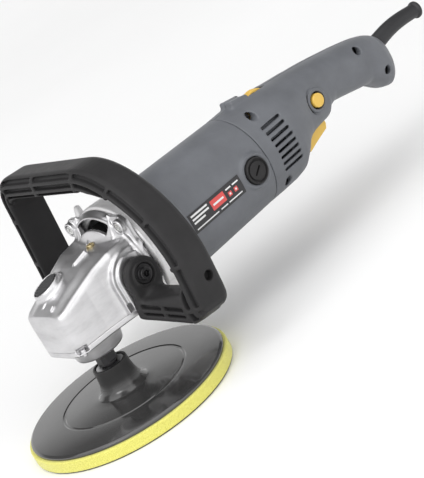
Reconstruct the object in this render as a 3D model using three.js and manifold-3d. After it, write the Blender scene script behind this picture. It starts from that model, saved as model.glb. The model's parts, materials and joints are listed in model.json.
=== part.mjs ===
// Rotary polisher: a right-angle machine with a 180 mm hook-and-loop pad, a D-shaped
// front handle and an in-line rear handle.
// Frame, in millimetres: the origin is the centre of the pad's working face, +Z runs up
// the spindle, and +X runs back along the motor to the rear handle.
import * as THREE from 'three';
import { mergeVertices } from 'three/addons/utils/BufferGeometryUtils.js';
import Module from 'manifold-3d';

const wasm = await Module();
wasm.setup();

// ---------------------------------------------------------------- driving dimensions
const GAP = 0.3;
const ROUNDNESS = 0.64; // share of the full facet count that turned shapes get
const MOTOR_Z = 98.8;
const PAD = { radius: 90, hookRadius: 89, hookThick: 0.8, foamLow: 1.1, foamTop: 10.9 };
const DISC = { radius: 87.3, low: 11.2, rim: 13.4, top: 17.2, hubRadius: 15.2, hubTop: 40.4, bore: 12.8 };
const SPINDLE = { thread: 6.8, collar: 8.5, collarTop: 54, journal: 7.5, gearSeat: 7, tip: 5.5, top: 106 };
const CROWN = { teeth: 28, inner: 18, outer: 25, low: 76, web: 89.5, bore: 7.3, pitchSlope: 0.25 };
const PINION = { teeth: 7, inner: 18, outer: 25.8, end: 30, hub: 7, bore: 2.4 };
const TOOTH = { rise: 0.046, fall: 0.066 };
const CASE = { noseX: -32.4, rearX: 42, low: 73.3, cavity: 26.2, cavityTop: 99 };
const FLANGE = { front: 52.4, rear: 57.6, half: 43, corner: 12, boltY: 36.2, boltZ: 35 };
const PLATE = { radius: 20.4, low: 53.5, flangeLow: 67.8, flangeTop: 73 };
const BELL = { front: 57.9, rear: 97, frontRadius: 50, rearRadius: 47.6, wall: 3, mouth: 42.6 };
const MOTOR = { front: 97.3, rear: 197.2, collarRear: 101.5, collarRadius: 47.4, wall: 2.8 };
const MOTOR_TAPER = -0.0246;
const MOTOR_REAR_RADIUS = 42.5;
const FAN_BLADES = 9;
const BRUSH = { x: 181.3, cap: 11.2, capIn: 40.9, capOut: 46, tube: 6.5, hole: 4.6, carbon: 4.2 };
const HANDLE = { front: 197.6, wall: 3, rings: 16 };
// The lock button stands to the right of the spindle's axis, over the crown gear's ring of holes.
const LOCK = { x: -5.5, y: 13, radius: 11, bore: 11.4, floor: 109.3, base: 113.6, seat: 116.2, top: 119.3 };
const LOCK_LEAN = { back: 0.285, side: 0.09 }; // the pad's top face, in radians off level
const LOCK_PIN = { radius: 2.2, low: 91 };
const DIAL = { x: 243, z: 127.6, radius: 14, half: 4, axle: 2.4, axleHalf: 8 };
const TRIGGER_HALF = 8;
const LOCK_ON = { x: 279, z: 106.5, radius: 6.2, inner: 17, outer: 31 };
const LOOP = { frontX: 36, depth: 34, lean: 0.085, leanZ: 100 };
const BOSS = { x: 40, z: 97, radius: 15.5, drop: 1.6, inner: 43.4, outer: 52 };

// ---------------------------------------------------------------- materials
const paint = (color, roughness, metalness) =>
  new THREE.MeshStandardMaterial({ color, roughness, metalness });
const MATERIAL = {
  castAluminium: paint(0xc9cbce, 0.32, 1),
  steel: paint(0xb4b6b8, 0.35, 1),
  darkSteel: paint(0x2c2c2e, 0.45, 0.9),
  brass: paint(0xc9a85a, 0.35, 1),
  copper: paint(0xb5693a, 0.4, 1),
  carbon: paint(0x2b2b2d, 0.8, 0.1),
  greyPlastic: paint(0x6e7177, 0.5, 0),
  blackPlastic: paint(0x333235, 0.42, 0),
  yellowPlastic: paint(0xe6b74a, 0.4, 0),
  glossPlastic: paint(0x3a393b, 0.2, 0),
  foam: paint(0xf0ea70, 0.9, 0),
  hook: paint(0x3c3c36, 0.95, 0),
  label: paint(0x2d2b2e, 0.4, 0),
  rubber: paint(0x2e2e30, 0.7, 0),
};

// ---------------------------------------------------------------- geometry tools
// A closed geometry with shared vertices, no empty triangles and its faces pointing out.
function closed(geometry) {
  const bare = geometry.clone();
  bare.deleteAttribute('normal');
  bare.deleteAttribute('uv');
  const merged = mergeVertices(bare, 1e-4);
  const at = merged.getAttribute('position');
  const faces = [];
  for (let i = 0; i < merged.index.count; i += 3) {
    const face = [0, 1, 2].map((k) => merged.index.getX(i + k));
    if (new Set(face).size === 3) faces.push(face);
  }
  const volume = faces.reduce((sum, face) => {
    const [a, b, c] = face.map((v) => new THREE.Vector3().fromBufferAttribute(at, v));
    return sum + a.dot(b.cross(c));
  }, 0);
  merged.setIndex(faces.flatMap(([a, b, c]) => (volume > 0 ? [a, b, c] : [a, c, b])));
  return merged;
}

function solid(geometry) {
  const shape = closed(geometry);
  const vertProperties = new Float32Array(shape.getAttribute('position').array);
  const triVerts = new Uint32Array(shape.index.array);
  return new wasm.Manifold(new wasm.Mesh({ numProp: 3, vertProperties, triVerts }));
}

function surface(body) {
  const mesh = body.getMesh();
  const geometry = new THREE.BufferGeometry();
  geometry.setAttribute('position', new THREE.BufferAttribute(mesh.vertProperties, 3));
  geometry.setIndex(new THREE.BufferAttribute(mesh.triVerts, 1));
  geometry.computeVertexNormals();
  return geometry;
}

const join = (first, ...others) => surface(others.reduce((all, g) => all.add(solid(g)), solid(first)));
const cut = (first, ...others) => surface(others.reduce((all, g) => all.subtract(solid(g)), solid(first)));
const common = (a, b) => surface(solid(a).intersect(solid(b)));

// Turned shape about Z from [radius, z] points. It starts and ends on the axis, or closes.
function turnedZ(points, segments = 32, ring = false) {
  const outline = points.map(([r, z]) => new THREE.Vector2(r, z));
  if (ring) outline.push(outline[0].clone());
  const facets = 4 * Math.max(2, Math.round((segments * ROUNDNESS) / 4));
  return closed(new THREE.LatheGeometry(outline, facets).rotateX(Math.PI / 2));
}

// The same about a line along X at the motor's height, from [radius, x] points.
function turnedX(points, segments = 32, ring = false) {
  return turnedZ(points, segments, ring).rotateY(Math.PI / 2).translate(0, 0, MOTOR_Z);
}

const rod = (r, low, top) => [[0, low], [r, low], [r, top], [0, top]];
const tube = (inner, outer, low, top) => [[inner, low], [outer, low], [outer, top], [inner, top]];
const rodZ = (x, y, r, low, top, seg = 24) => turnedZ(rod(r, low, top), seg).translate(x, y, 0);
const rodX = (r, low, top, seg = 32) => turnedX(rod(r, low, top), seg);
const ringX = (inner, outer, low, top, seg = 32) => turnedX(tube(inner, outer, low, top), seg, true);

// A turned shape about a line along Y through (x, z); side is -1 (left) or 1 (right).
function turnedY(points, x, z, side, segments = 24, ring = false) {
  return turnedZ(points, segments, ring).rotateX(-side * Math.PI / 2).translate(x, 0, z);
}
const rodY = (x, z, r, near, far, side, seg = 24) => turnedY(rod(r, near, far), x, z, side, seg);

function box(x0, x1, y0, y1, z0, z1) {
  const geometry = new THREE.BoxGeometry(x1 - x0, y1 - y0, z1 - z0);
  return geometry.translate((x0 + x1) / 2, (y0 + y1) / 2, (z0 + z1) / 2);
}

// A closed skin over rings of points that all have the same count.
function loft(rings) {
  const count = rings[0].length;
  const points = rings.flat();
  const faces = [];
  for (let k = 0; k + 1 < rings.length; k += 1) {
    for (let i = 0; i < count; i += 1) {
      const a = k * count + i;
      const b = k * count + (i + 1) % count;
      faces.push(a, b, b + count, a, b + count, a + count);
    }
  }
  for (const [start, flip] of [[0, true], [(rings.length - 1) * count, false]]) {
    const centre = rings[start / count].reduce((sum, p) => sum.clone().add(p)).divideScalar(count);
    const middle = points.push(centre) - 1;
    for (let i = 0; i < count; i += 1) {
      const pair = [start + i, start + (i + 1) % count];
      faces.push(middle, ...(flip ? pair.reverse() : pair));
    }
  }
  const geometry = new THREE.BufferGeometry().setFromPoints(points);
  geometry.setIndex(faces);
  return closed(geometry);
}

// A coil spring about a line along Z.
function coil(x, y, radius, wire, low, top, turns) {
  class Helix extends THREE.Curve {
    getPoint(t) {
      const turn = 2 * Math.PI * turns * t;
      const z = low + wire + (top - low - 2 * wire) * t;
      return new THREE.Vector3(x + radius * Math.cos(turn), y + radius * Math.sin(turn), z);
    }
  }
  const section = new THREE.Shape().absarc(0, 0, wire, 0, 2 * Math.PI);
  const options = { steps: turns * 8, curveSegments: 3, extrudePath: new Helix() };
  return closed(new THREE.ExtrudeGeometry(section, options));
}

// ---------------------------------------------------------------- the scene graph
const polisher = new THREE.Group();
function piece(name, geometry, material) {
  const mesh = new THREE.Mesh(geometry, material);
  mesh.name = name;
  polisher.add(mesh);
  return mesh;
}

const motorRadius = (x) => MOTOR_REAR_RADIUS + MOTOR_TAPER * (x - MOTOR.rear);
const bellRadius = (x) => THREE.MathUtils.mapLinear(
  x, BELL.front, BELL.rear, BELL.frontRadius, BELL.rearRadius);

// ---------------------------------------------------------------- polishing pad
function makePad() {
  piece('hook_face', turnedZ(rod(PAD.hookRadius, 0, PAD.hookThick), 48), MATERIAL.hook);
  const foam = [
    [0, PAD.foamLow], [PAD.radius - 0.8, PAD.foamLow], [PAD.radius, PAD.foamLow + 1.5],
    [PAD.radius, PAD.foamTop - 1.5], [PAD.radius - 0.8, PAD.foamTop], [0, PAD.foamTop],
  ];
  piece('foam_pad', turnedZ(foam, 48), MATERIAL.foam);
  const flare = [[22, DISC.top], [18.1, 21], [16.4, 25.5], [DISC.hubRadius, 30]];
  const disc = [
    [0, DISC.low], [DISC.radius, DISC.low], [DISC.radius, DISC.rim], [DISC.radius - 1.5, DISC.rim + 1],
    ...flare,
    [DISC.hubRadius, DISC.hubTop - 0.6], [DISC.hubRadius - 0.6, DISC.hubTop],
    [DISC.bore, DISC.hubTop], [DISC.bore, 23], [0, 23],
  ];
  piece('backing_disc', turnedZ(disc, 48), MATERIAL.glossPlastic);
  const insert = tube(SPINDLE.thread + GAP, DISC.bore - GAP, 24, DISC.hubTop - 0.4);
  piece('hub_thread_insert', turnedZ(insert, 24, true), MATERIAL.steel);
}

// ---------------------------------------------------------------- spindle and gears
// Bevel gears share their apex where the spindle's axis meets the motor's axis.
const CROWN_SLOPE = { pitch: CROWN.pitchSlope, tip: CROWN.pitchSlope - TOOTH.rise };
CROWN_SLOPE.root = CROWN.pitchSlope + TOOTH.fall;

// Angles of one tooth's four corners, as fractions of the tooth pitch.
const corners = (root, tip) => [[-root / 2, 0], [-tip / 2, 1], [tip / 2, 1], [root / 2, 0]];

function makeCrownGear() {
  const rings = [CROWN.inner, CROWN.outer].map((r) => {
    const ring = [];
    for (let tooth = 0; tooth < CROWN.teeth; tooth += 1) {
      for (const [shift, high] of corners(0.6, 0.22)) {
        const turn = (2 * Math.PI * (tooth + 0.5 + shift)) / CROWN.teeth;
        const z = MOTOR_Z - r * (high ? CROWN_SLOPE.tip : CROWN_SLOPE.root);
        ring.push(new THREE.Vector3(r * Math.cos(turn), r * Math.sin(turn), z));
      }
    }
    return ring;
  });
  const floor = (ring) => ring.map((p) => new THREE.Vector3(p.x, p.y, CROWN.low));
  const toothed = loft([floor(rings[0]), rings[0], rings[1], floor(rings[1])]);
  const core = turnedZ(tube(CROWN.bore, CROWN.inner + 2, CROWN.low, CROWN.web), 48, true);
  const reach = Math.hypot(LOCK.x, LOCK.y);
  const holes = [0, 1, 2, 3].map((k) => {
    const turn = Math.atan2(LOCK.y, LOCK.x) + (k * Math.PI) / 2;
    const [x, y] = [reach * Math.cos(turn), reach * Math.sin(turn)];
    return rodZ(x, y, LOCK_PIN.radius + 0.7, CROWN.low - 1, CROWN.web + 1, 12);
  });
  piece('crown_gear', cut(toothedRing(toothed, core), ...holes), MATERIAL.darkSteel);
}

// The lofted ring of teeth is capped by flat discs, so its middle is cleared before it joins the web.
function toothedRing(toothed, core) {
  const middle = rodZ(0, 0, CROWN.inner + 0.2, CROWN.low - 1, MOTOR_Z, 48);
  return join(cut(toothed, middle), core);
}

function makePinion() {
  const slope = Math.atan(CROWN.pitchSlope);
  const root = Math.tan(slope - TOOTH.fall);
  const tip = Math.tan(slope + TOOTH.rise);
  const rings = [PINION.inner, PINION.outer].map((x) => {
    const ring = [];
    for (let tooth = 0; tooth < PINION.teeth; tooth += 1) {
      for (const [shift, high] of corners(0.56, 0.16)) {
        const turn = (2 * Math.PI * (tooth + shift)) / PINION.teeth - Math.PI / 2;
        const r = x * (high ? tip : root);
        ring.push(new THREE.Vector3(x, r * Math.cos(turn), MOTOR_Z + r * Math.sin(turn)));
      }
    }
    return ring;
  });
  const hub = turnedX(rod(PINION.hub, PINION.outer - 0.3, PINION.end), 24);
  const bore = rodX(PINION.bore, PINION.inner - 1, PINION.end + 1, 16);
  piece('pinion_gear', cut(join(loft(rings), hub), bore), MATERIAL.steel);
}

function makeSpindle() {
  const profile = [
    [0, 25], [SPINDLE.thread - 0.8, 25], [SPINDLE.thread, 26], [SPINDLE.thread, 40.9],
    [SPINDLE.collar, 40.9], [SPINDLE.collar, SPINDLE.collarTop], [SPINDLE.journal, SPINDLE.collarTop],
    [SPINDLE.journal, 70], [SPINDLE.gearSeat, 70], [SPINDLE.gearSeat, 90], [SPINDLE.tip, 91],
    [SPINDLE.tip, SPINDLE.top - 0.8], [SPINDLE.tip - 0.8, SPINDLE.top], [0, SPINDLE.top],
  ];
  const flats = [-1, 1].map((side) => box(-12, 12, side > 0 ? 7.2 : -12, side > 0 ? 12 : -7.2, 42.5, 51));
  piece('spindle', cut(turnedZ(profile, 32), ...flats), MATERIAL.darkSteel);
  const ball = tube(SPINDLE.journal + GAP, 17.5, 58, 68.6);
  piece('spindle_ball_bearing', turnedZ(ball, 32, true), MATERIAL.steel);
  const needle = tube(SPINDLE.tip + GAP, 8.2, 99.6, 106.8);
  piece('spindle_needle_bearing', turnedZ(needle, 24, true), MATERIAL.steel);
}

// ---------------------------------------------------------------- gear head
// One cross-section of the head at x: flat bottom, upright sides, a ridge and a sloping roof.
function headSection({ x, half, ridge, crest, low }) {
  const right = [
    [0, low], [half - 5, low], [half - 1.4, low + 1.6], [half, low + 5],
    [half, ridge - 4.5], [half - 1.6, ridge - 1.4], [half - 4.6, ridge], [11, crest], [0, crest],
  ];
  const left = right.slice(1, -1).reverse().map(([y, z]) => [-y, z]);
  return [...right, ...left].map(([y, z]) => new THREE.Vector3(x, y, z));
}

const HEAD_STATIONS = [
  { x: CASE.noseX, half: 23, ridge: 91, crest: 92 },
  { x: -31.2, half: 26.2, ridge: 99, crest: 100 },
  { x: -28.6, half: 27.9, ridge: 104, crest: 105.2 },
  { x: -15, half: 29, ridge: 109.2, crest: 111.2 },
  { x: 0, half: 30.4, ridge: 114.2, crest: 116.4 },
  { x: 14, half: 33, ridge: 119.4, crest: 121 },
  { x: 30, half: 37, ridge: 123.6, crest: 124.6 },
  { x: FLANGE.front + 1, half: 39.5, ridge: 125.6, crest: 126 },
];

function headShape(low, top = Infinity) {
  return loft(HEAD_STATIONS.map((s) => headSection({
    ...s, low, ridge: Math.min(s.ridge, top), crest: Math.min(s.crest, top),
  })));
}

function makeGearCase() {
  const shoulder = turnedX([
    [0, CASE.rearX], [27, CASE.rearX], [37, 45], [45, 50.4], [49.5, 54],
    [49.5, FLANGE.rear], [0, FLANGE.rear],
  ], 48);
  const flange = squareFlange(FLANGE.front, FLANGE.rear);
  const lockPad = leanedBack(turnedZ([[0, -13.3], [14.6, -13.3], [13.5, -0.8], [12.9, 0], [0, 0]], 36));
  const sidePads = [-1, 1].flatMap((side) => [
    rodY(BOSS.x, BOSS.z, 23, 25, 40, side, 36), rodY(BOSS.x, BOSS.z, 20, 25, 42, side, 36),
  ]);
  const limits = box(-40, FLANGE.rear, -FLANGE.half, FLANGE.half, CASE.low, 160);
  const trimmed = common(join(headShape(CASE.low), shoulder, ...sidePads), limits);
  const outer = join(trimmed, flange, lockPad);
  const cavity = rodZ(0, 0, CASE.cavity, CASE.low - 30, CASE.cavityTop, 40);
  const pinionBore = rodX(9.6, 4, 35, 24);
  const bearingSeat = rodX(16.3, 34, 47, 32);
  const rearHollow = turnedX([[0, 46.8], [34, 46.8], [42, 51], [42, 60], [0, 60]], 40);
  const needleSeat = rodZ(0, 0, 8.5, CASE.cavityTop - 1, 107.2, 24);
  const buttonBore = rodZ(LOCK.x, LOCK.y, LOCK.bore, LOCK.floor, 140, 28);
  const pinBore = rodZ(LOCK.x, LOCK.y, LOCK_PIN.radius + 0.4, CASE.cavityTop - 1, LOCK.floor + 1, 12);
  const boltHoles = [-1, 1].map((side) => rodY(BOSS.x, BOSS.z, 4.3, 27, 44, side, 16));
  const outlet = common(ringX(35.5, 43.5, 40, 54, 48), sector(34));
  const screwHoles = screwPlaces().flatMap(([y, z]) => [
    rodAt(1.9, y, z, 46, 58), rodAt(4.2, y, z, 44, FLANGE.front, 16),
  ]);
  const hollow = cut(outer, cavity, pinionBore, bearingSeat, rearHollow, needleSeat, buttonBore, pinBore);
  const body = cut(hollow, ...boltHoles, outlet, ...plateScrewHoles(), ...screwHoles, oilHole());
  piece('gear_case', body, MATERIAL.castAluminium);
}

// Sets a shape about the origin on the lock pad: its +Z leans towards the nose and to the right.
function leanedBack(geometry) {
  geometry.rotateX(-LOCK_LEAN.side).rotateY(-LOCK_LEAN.back);
  return geometry.translate(LOCK.x, LOCK.y, LOCK.top);
}

// A wedge about the motor axis, reaching the given angle (degrees) to each side of straight up.
function sector(degrees) {
  const reach = 70;
  const edge = reach * Math.tan(THREE.MathUtils.degToRad(degrees));
  const outline = new THREE.Shape().moveTo(0, 0).lineTo(edge, reach).lineTo(-edge, reach);
  const wedge = new THREE.ExtrudeGeometry(outline, { depth: 120, bevelEnabled: false });
  return wedge.rotateX(Math.PI / 2).rotateZ(Math.PI / 2).translate(-20, 0, MOTOR_Z);
}

// The flange is a square with large rounded corners, where the four case screws sit.
function squareFlange(front, rear) {
  const reach = FLANGE.half - FLANGE.corner;
  const outline = new THREE.Shape();
  for (const [k, [cy, cz]] of [[1, 1], [-1, 1], [-1, -1], [1, -1]].entries()) {
    outline.absarc(cy * reach, cz * reach, FLANGE.corner, (k * Math.PI) / 2, ((k + 1) * Math.PI) / 2);
  }
  const options = { depth: rear - front, bevelEnabled: false, curveSegments: 5 };
  const plate = new THREE.ExtrudeGeometry(outline, options);
  return plate.rotateX(Math.PI / 2).rotateZ(Math.PI / 2).translate(front, 0, MOTOR_Z);
}

const screwPlaces = () => [[-1, 1], [1, 1], [1, -1], [-1, -1]].map(([sy, sz]) => [
  sy * FLANGE.boltY, sz * FLANGE.boltZ,
]);

function rodAt(r, y, z, low, top, segments = 12) {
  return turnedZ(rod(r, low, top), segments).rotateY(Math.PI / 2).translate(0, y, MOTOR_Z + z);
}

const OIL = { x: 38.1, y: -2.5 };
const oilHole = () => rodZ(OIL.x, OIL.y, 2.2, 112, 130, 12);
const PLATE_SCREWS = [[-19.5, -19.5], [22.5, -23]];
const plateScrewHoles = () => PLATE_SCREWS.map(([x, y]) => rodZ(x, y, 1.9, 66, 84, 12));

function makeBearingPlate() {
  const limits = box(-40, 40, -60, 60, PLATE.flangeLow, PLATE.flangeTop);
  const flange = common(headShape(PLATE.flangeLow), limits);
  const boss = turnedZ([
    [0, PLATE.low], [PLATE.radius - 1.6, PLATE.low], [PLATE.radius, PLATE.low + 1.6],
    [PLATE.radius + 3.9, PLATE.flangeLow + 2], [PLATE.radius + 3.9, PLATE.flangeTop], [0, PLATE.flangeTop],
  ], 40);
  const seat = rodZ(0, 0, 17.8, 57.7, 80, 36);
  const mouth = rodZ(0, 0, 10, 40, 60, 28);
  const body = cut(join(flange, boss), seat, mouth, ...plateScrewHoles());
  piece('bearing_plate', body, MATERIAL.castAluminium);
  PLATE_SCREWS.forEach(([x, y], k) => {
    const screw = [[0, 64.6], [3.4, 64.6], [3.6, 67.5], [1.6, 67.5], [1.6, 82], [0, 82]];
    piece(`bearing_plate_screw_${k + 1}`, turnedZ(screw, 16).translate(x, y, 0), MATERIAL.steel);
  });
}

function makeHeadScrews() {
  screwPlaces().forEach(([y, z], k) => {
    const profile = [[0, 49], [3, 49], [3.8, 50], [3.8, 52.1], [1.6, 52.1], [1.6, 56.4], [0, 56.4]];
    const screw = turnedZ(profile, 16).rotateY(Math.PI / 2).translate(0, y, MOTOR_Z + z);
    piece(`case_screw_${k + 1}`, screw, MATERIAL.steel);
  });
  const oil = [[0, 116], [1.9, 116], [1.9, 126.6], [3.6, 126.6], [3.4, 128.4], [0, 128.8]];
  piece('oil_screw', turnedZ(oil, 16).translate(OIL.x, OIL.y, 0), MATERIAL.brass);
}

// The button is a cup: the spring stands inside it on the bore's floor, round the pin.
function makeSpindleLock() {
  const { x, y, radius, base, seat } = LOCK;
  const springRadius = 4.2;
  const cup = [
    [0, seat], [springRadius + 1.6, seat], [springRadius + 1.6, base], [radius, base],
    [radius, 126], [0, 126],
  ];
  const button = turnedZ(cup, 28).translate(x, y, 0);
  const above = leanedBack(box(-30, 30, -30, 30, 0.2, 20));
  piece('spindle_lock_button', cut(button, above), MATERIAL.rubber);
  piece('spindle_lock_pin', rodZ(x, y, LOCK_PIN.radius, LOCK_PIN.low, seat - GAP, 16), MATERIAL.steel);
  const spring = coil(x, y, springRadius, 0.4, LOCK.floor + GAP, seat - GAP, 3);
  piece('spindle_lock_spring', spring, MATERIAL.steel);
}

// ---------------------------------------------------------------- motor
function makeBell() {
  const { front, rear, wall } = BELL;
  const outer = [
    [BELL.mouth, front], [bellRadius(front) - 0.6, front], [bellRadius(front), front + 0.8],
    [bellRadius(rear), rear], [bellRadius(rear) - wall, rear],
    [bellRadius(front) - wall, front + 1.8], [BELL.mouth, front + 1.8],
  ];
  piece('intermediate_housing', turnedX(outer, 48, true), MATERIAL.castAluminium);
  const baffle = [[30, 77], [44.3, 77], [44.3, 79], [34, 79], [31, 83], [29, 83]];
  piece('air_baffle', turnedX(baffle, 36, true), MATERIAL.blackPlastic);
}

function makeArmature() {
  const shaft = [
    [0, 17.6], [2.1, 17.6], [2.1, 30.4], [5, 30.4], [5, 87], [5.6, 87],
    [5.6, 192], [4, 192], [4, 206], [0, 206],
  ];
  piece('armature_shaft', turnedX(shaft, 20), MATERIAL.steel);
  piece('front_ball_bearing', ringX(5.3, 16, 34.6, 44.6), MATERIAL.steel);
  piece('rear_ball_bearing', ringX(4.3, 11, 198.6, 205.4, 28), MATERIAL.steel);
  const backPlate = ringX(5.3, 38, 70, 72, 36);
  const hub = ringX(5.3, 12, 60, 71, 24);
  const blades = [];
  for (let k = 0; k < FAN_BLADES; k += 1) {
    const blade = box(60, 71, -0.8, 0.8, 14, 38 - 0.3);
    blades.push(blade.rotateX((2 * Math.PI * k) / FAN_BLADES).translate(0, 0, MOTOR_Z));
  }
  piece('cooling_fan', join(backPlate, hub, ...blades), MATERIAL.blackPlastic);
  piece('armature_core', ringX(5.9, 22.5, 97, 149, 36), MATERIAL.darkSteel);
  const winding = (low, top, small) => turnedX(
    [[5.9, low], [small[0], low], [small[1], top], [5.9, top]], 24, true);
  piece('armature_winding_front', winding(88, 96.7, [15, 18.4]), MATERIAL.copper);
  piece('armature_winding_rear', winding(149.3, 160, [18.4, 14]), MATERIAL.copper);
  piece('commutator', ringX(5.9, 13.2, 166, 191, 24), MATERIAL.copper);
}

function makeStator() {
  const ring = ringX(23.4, 39.4, 95, 149, 40);
  const slots = [-1, 1].flatMap((sy) => [-1, 1].map((sz) => {
    const [y0, y1] = [19, 26.8].map((y) => y * sy).sort((a, b) => a - b);
    const [z0, z1] = [10, 26.3].map((z) => z * sz).sort((a, b) => a - b);
    return box(90, 155, y0, y1, MOTOR_Z + z0, MOTOR_Z + z1);
  }));
  piece('field_core', cut(ring, ...slots), MATERIAL.darkSteel);
  for (const [name, side] of [['field_coil_top', 1], ['field_coil_bottom', -1]]) {
    const [z0, z1] = [20, 26].map((z) => MOTOR_Z + z * side).sort((a, b) => a - b);
    const loop = cut(box(87, 157, -26.4, 26.4, z0, z1), box(94.6, 149.4, -19.4, 19.4, z0 - 1, z1 + 1));
    piece(name, loop, MATERIAL.copper);
  }
}

function makeMotorHousing() {
  const { front, rear, collarRear, collarRadius, wall } = MOTOR;
  const inner = (x) => motorRadius(x) - wall;
  const shell = turnedX([
    [inner(front), front], [collarRadius - 0.6, front], [collarRadius, front + 0.8],
    [collarRadius, collarRear - 0.8], [motorRadius(collarRear), collarRear],
    [motorRadius(rear), rear], [11.4, rear], [11.4, rear - 3], [inner(rear), rear - 3],
  ], 56, true);
  const cup = ringX(11.4, 14, rear - 3, 206, 28);
  const bothSides = (r, near, far, seg) => [-1, 1].map(
    (side) => rodY(BRUSH.x, MOTOR_Z, r, near, far, side, seg));
  const capHoles = bothSides(BRUSH.cap + 0.4, BRUSH.capIn - GAP, 50, 28);
  const tubeHoles = bothSides(BRUSH.tube + GAP, 30, 45, 20);
  const windows = [45, 135, 225, 315].map((degrees) => {
    const turn = THREE.MathUtils.degToRad(degrees);
    const hole = turnedZ(rod(9, rear - 6, rear + 3), 20).rotateY(Math.PI / 2);
    return hole.translate(0, 26 * Math.cos(turn), MOTOR_Z + 26 * Math.sin(turn));
  });
  const body = join(shell, cup, ...bothSides(15, 38, 43.4, 32));
  piece('motor_housing', cut(body, ...capHoles, ...tubeHoles, ...windows), MATERIAL.greyPlastic);
}

function makeBrushGear() {
  for (const [name, side] of [['left', -1], ['right', 1]]) {
    const holder = tube(BRUSH.hole, BRUSH.tube, 15, BRUSH.capIn - 2);
    piece(`brush_holder_${name}`, turnedY(holder, BRUSH.x, MOTOR_Z, side, 20, true), MATERIAL.brass);
    const brush = rodY(BRUSH.x, MOTOR_Z, BRUSH.carbon, 13.6, 30, side, 16);
    piece(`carbon_brush_${name}`, brush, MATERIAL.carbon);
    const cap = rodY(BRUSH.x, MOTOR_Z, BRUSH.cap, BRUSH.capIn, BRUSH.capOut, side, 28);
    const slot = box(-8, 8, 44.6 * side, 48 * side, -1.1, 1.1).rotateY(0.7).translate(BRUSH.x, 0, MOTOR_Z);
    piece(`brush_cap_${name}`, cut(cap, slot), MATERIAL.blackPlastic);
  }
}

function makeLabel() {
  const skin = turnedX([
    [motorRadius(102) + GAP, 102], [motorRadius(102) + 0.7, 102],
    [motorRadius(164) + 0.7, 164], [motorRadius(164) + GAP, 164],
  ], 72, true);
  const window = box(100, 166, -60, 0, MOTOR_Z - 8.6, MOTOR_Z + 8.4);
  piece('rating_label', common(skin, window), MATERIAL.label);
}

// ---------------------------------------------------------------- rear handle
// Side outline of the handle: x, underside z, top z and half-width.
const HANDLE_STATIONS = [
  [197.6, 56.3, 141.3, 42.5], [214, 56.2, 141.6, 42.3], [231, 56.8, 141, 41.2],
  [241, 58.6, 140.2, 39.8], [249, 65.2, 139.4, 37.6], [256, 73, 138.6, 35.2],
  [264, 77.4, 137.4, 32.4], [273, 79.4, 136.4, 30], [282, 80.4, 135.4, 28.4],
  [290, 80.8, 134.2, 27.2], [293.5, 81.4, 133.8, 26.8], [296.5, 86, 133.4, 26.4],
  [306, 89, 132, 25.6], [318, 86.8, 130, 25.4], [330, 84.2, 127.8, 25],
  [342, 81.6, 125.6, 25], [352, 79.8, 123.4, 24.6], [360, 73.2, 121.6, 24.6],
  [366, 68, 120, 24.2], [374, 65.4, 117.2, 22], [379.5, 68, 114, 18.4],
  [384, 73, 109.8, 14.4], [387.4, 80, 104.4, 9.6], [389.4, 87, 98, 5],
];

function handleSection([x, low, top, half], inset = 0) {
  const middle = (low + top) / 2;
  const tall = (top - low) / 2 - inset;
  const wide = half - inset;
  const square = THREE.MathUtils.smoothstep(x, 205, 290) * 0.35;
  const power = 2 / (2 + square);
  const ring = [];
  for (let k = 0; k < HANDLE.rings; k += 1) {
    const turn = (2 * Math.PI * (k + 0.5)) / HANDLE.rings;
    const [c, s] = [Math.cos(turn), Math.sin(turn)];
    const y = wide * Math.sign(c) * Math.abs(c) ** power;
    ring.push(new THREE.Vector3(x, y, middle + tall * Math.sign(s) * Math.abs(s) ** power));
  }
  return ring;
}

const HANDLE_SCREWS = [[214.5, 131.5, 24.4], [213.5, 69, 28.8], [347, 115, 19.6], [367, 84, 21.6]];

function handleSolid() {
  const outer = loft(HANDLE_STATIONS.map((s) => handleSection(s)));
  const innerStations = HANDLE_STATIONS.slice(0, -3);
  innerStations[0] = [HANDLE.front - 2, ...innerStations[0].slice(1)];
  const hollow = loft(innerStations.map((s) => handleSection(s, HANDLE.wall)));
  const hump = box(214, 232, -9, 9, 136, 146.6);
  return cut(join(outer, hump), hollow);
}

function ventSlots(side) {
  const slots = [];
  for (let k = 0; k < 8; k += 1) {
    const z = 120.4 - k * 5.7;
    slots.push(box(210, 233.5, side * 30, side * 50, z - 1.2, z + 1.2));
  }
  return slots;
}

// The left half alone carries the screw heads' recesses and the lock-on button's collar.
function nearSideFeatures() {
  const { x, z, radius } = LOCK_ON;
  return {
    bezel: [turnedY(tube(radius + 0.8, 9.6, 22, 29.2), x, z, -1, 24, true)],
    holes: [
      ...HANDLE_SCREWS.map(([sx, sz, reach]) => rodY(sx, sz, 3.9, reach - 7, 60, -1, 16)),
      rodY(x, z, radius + 0.4, 10, 60, -1, 24),
    ],
  };
}

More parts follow.
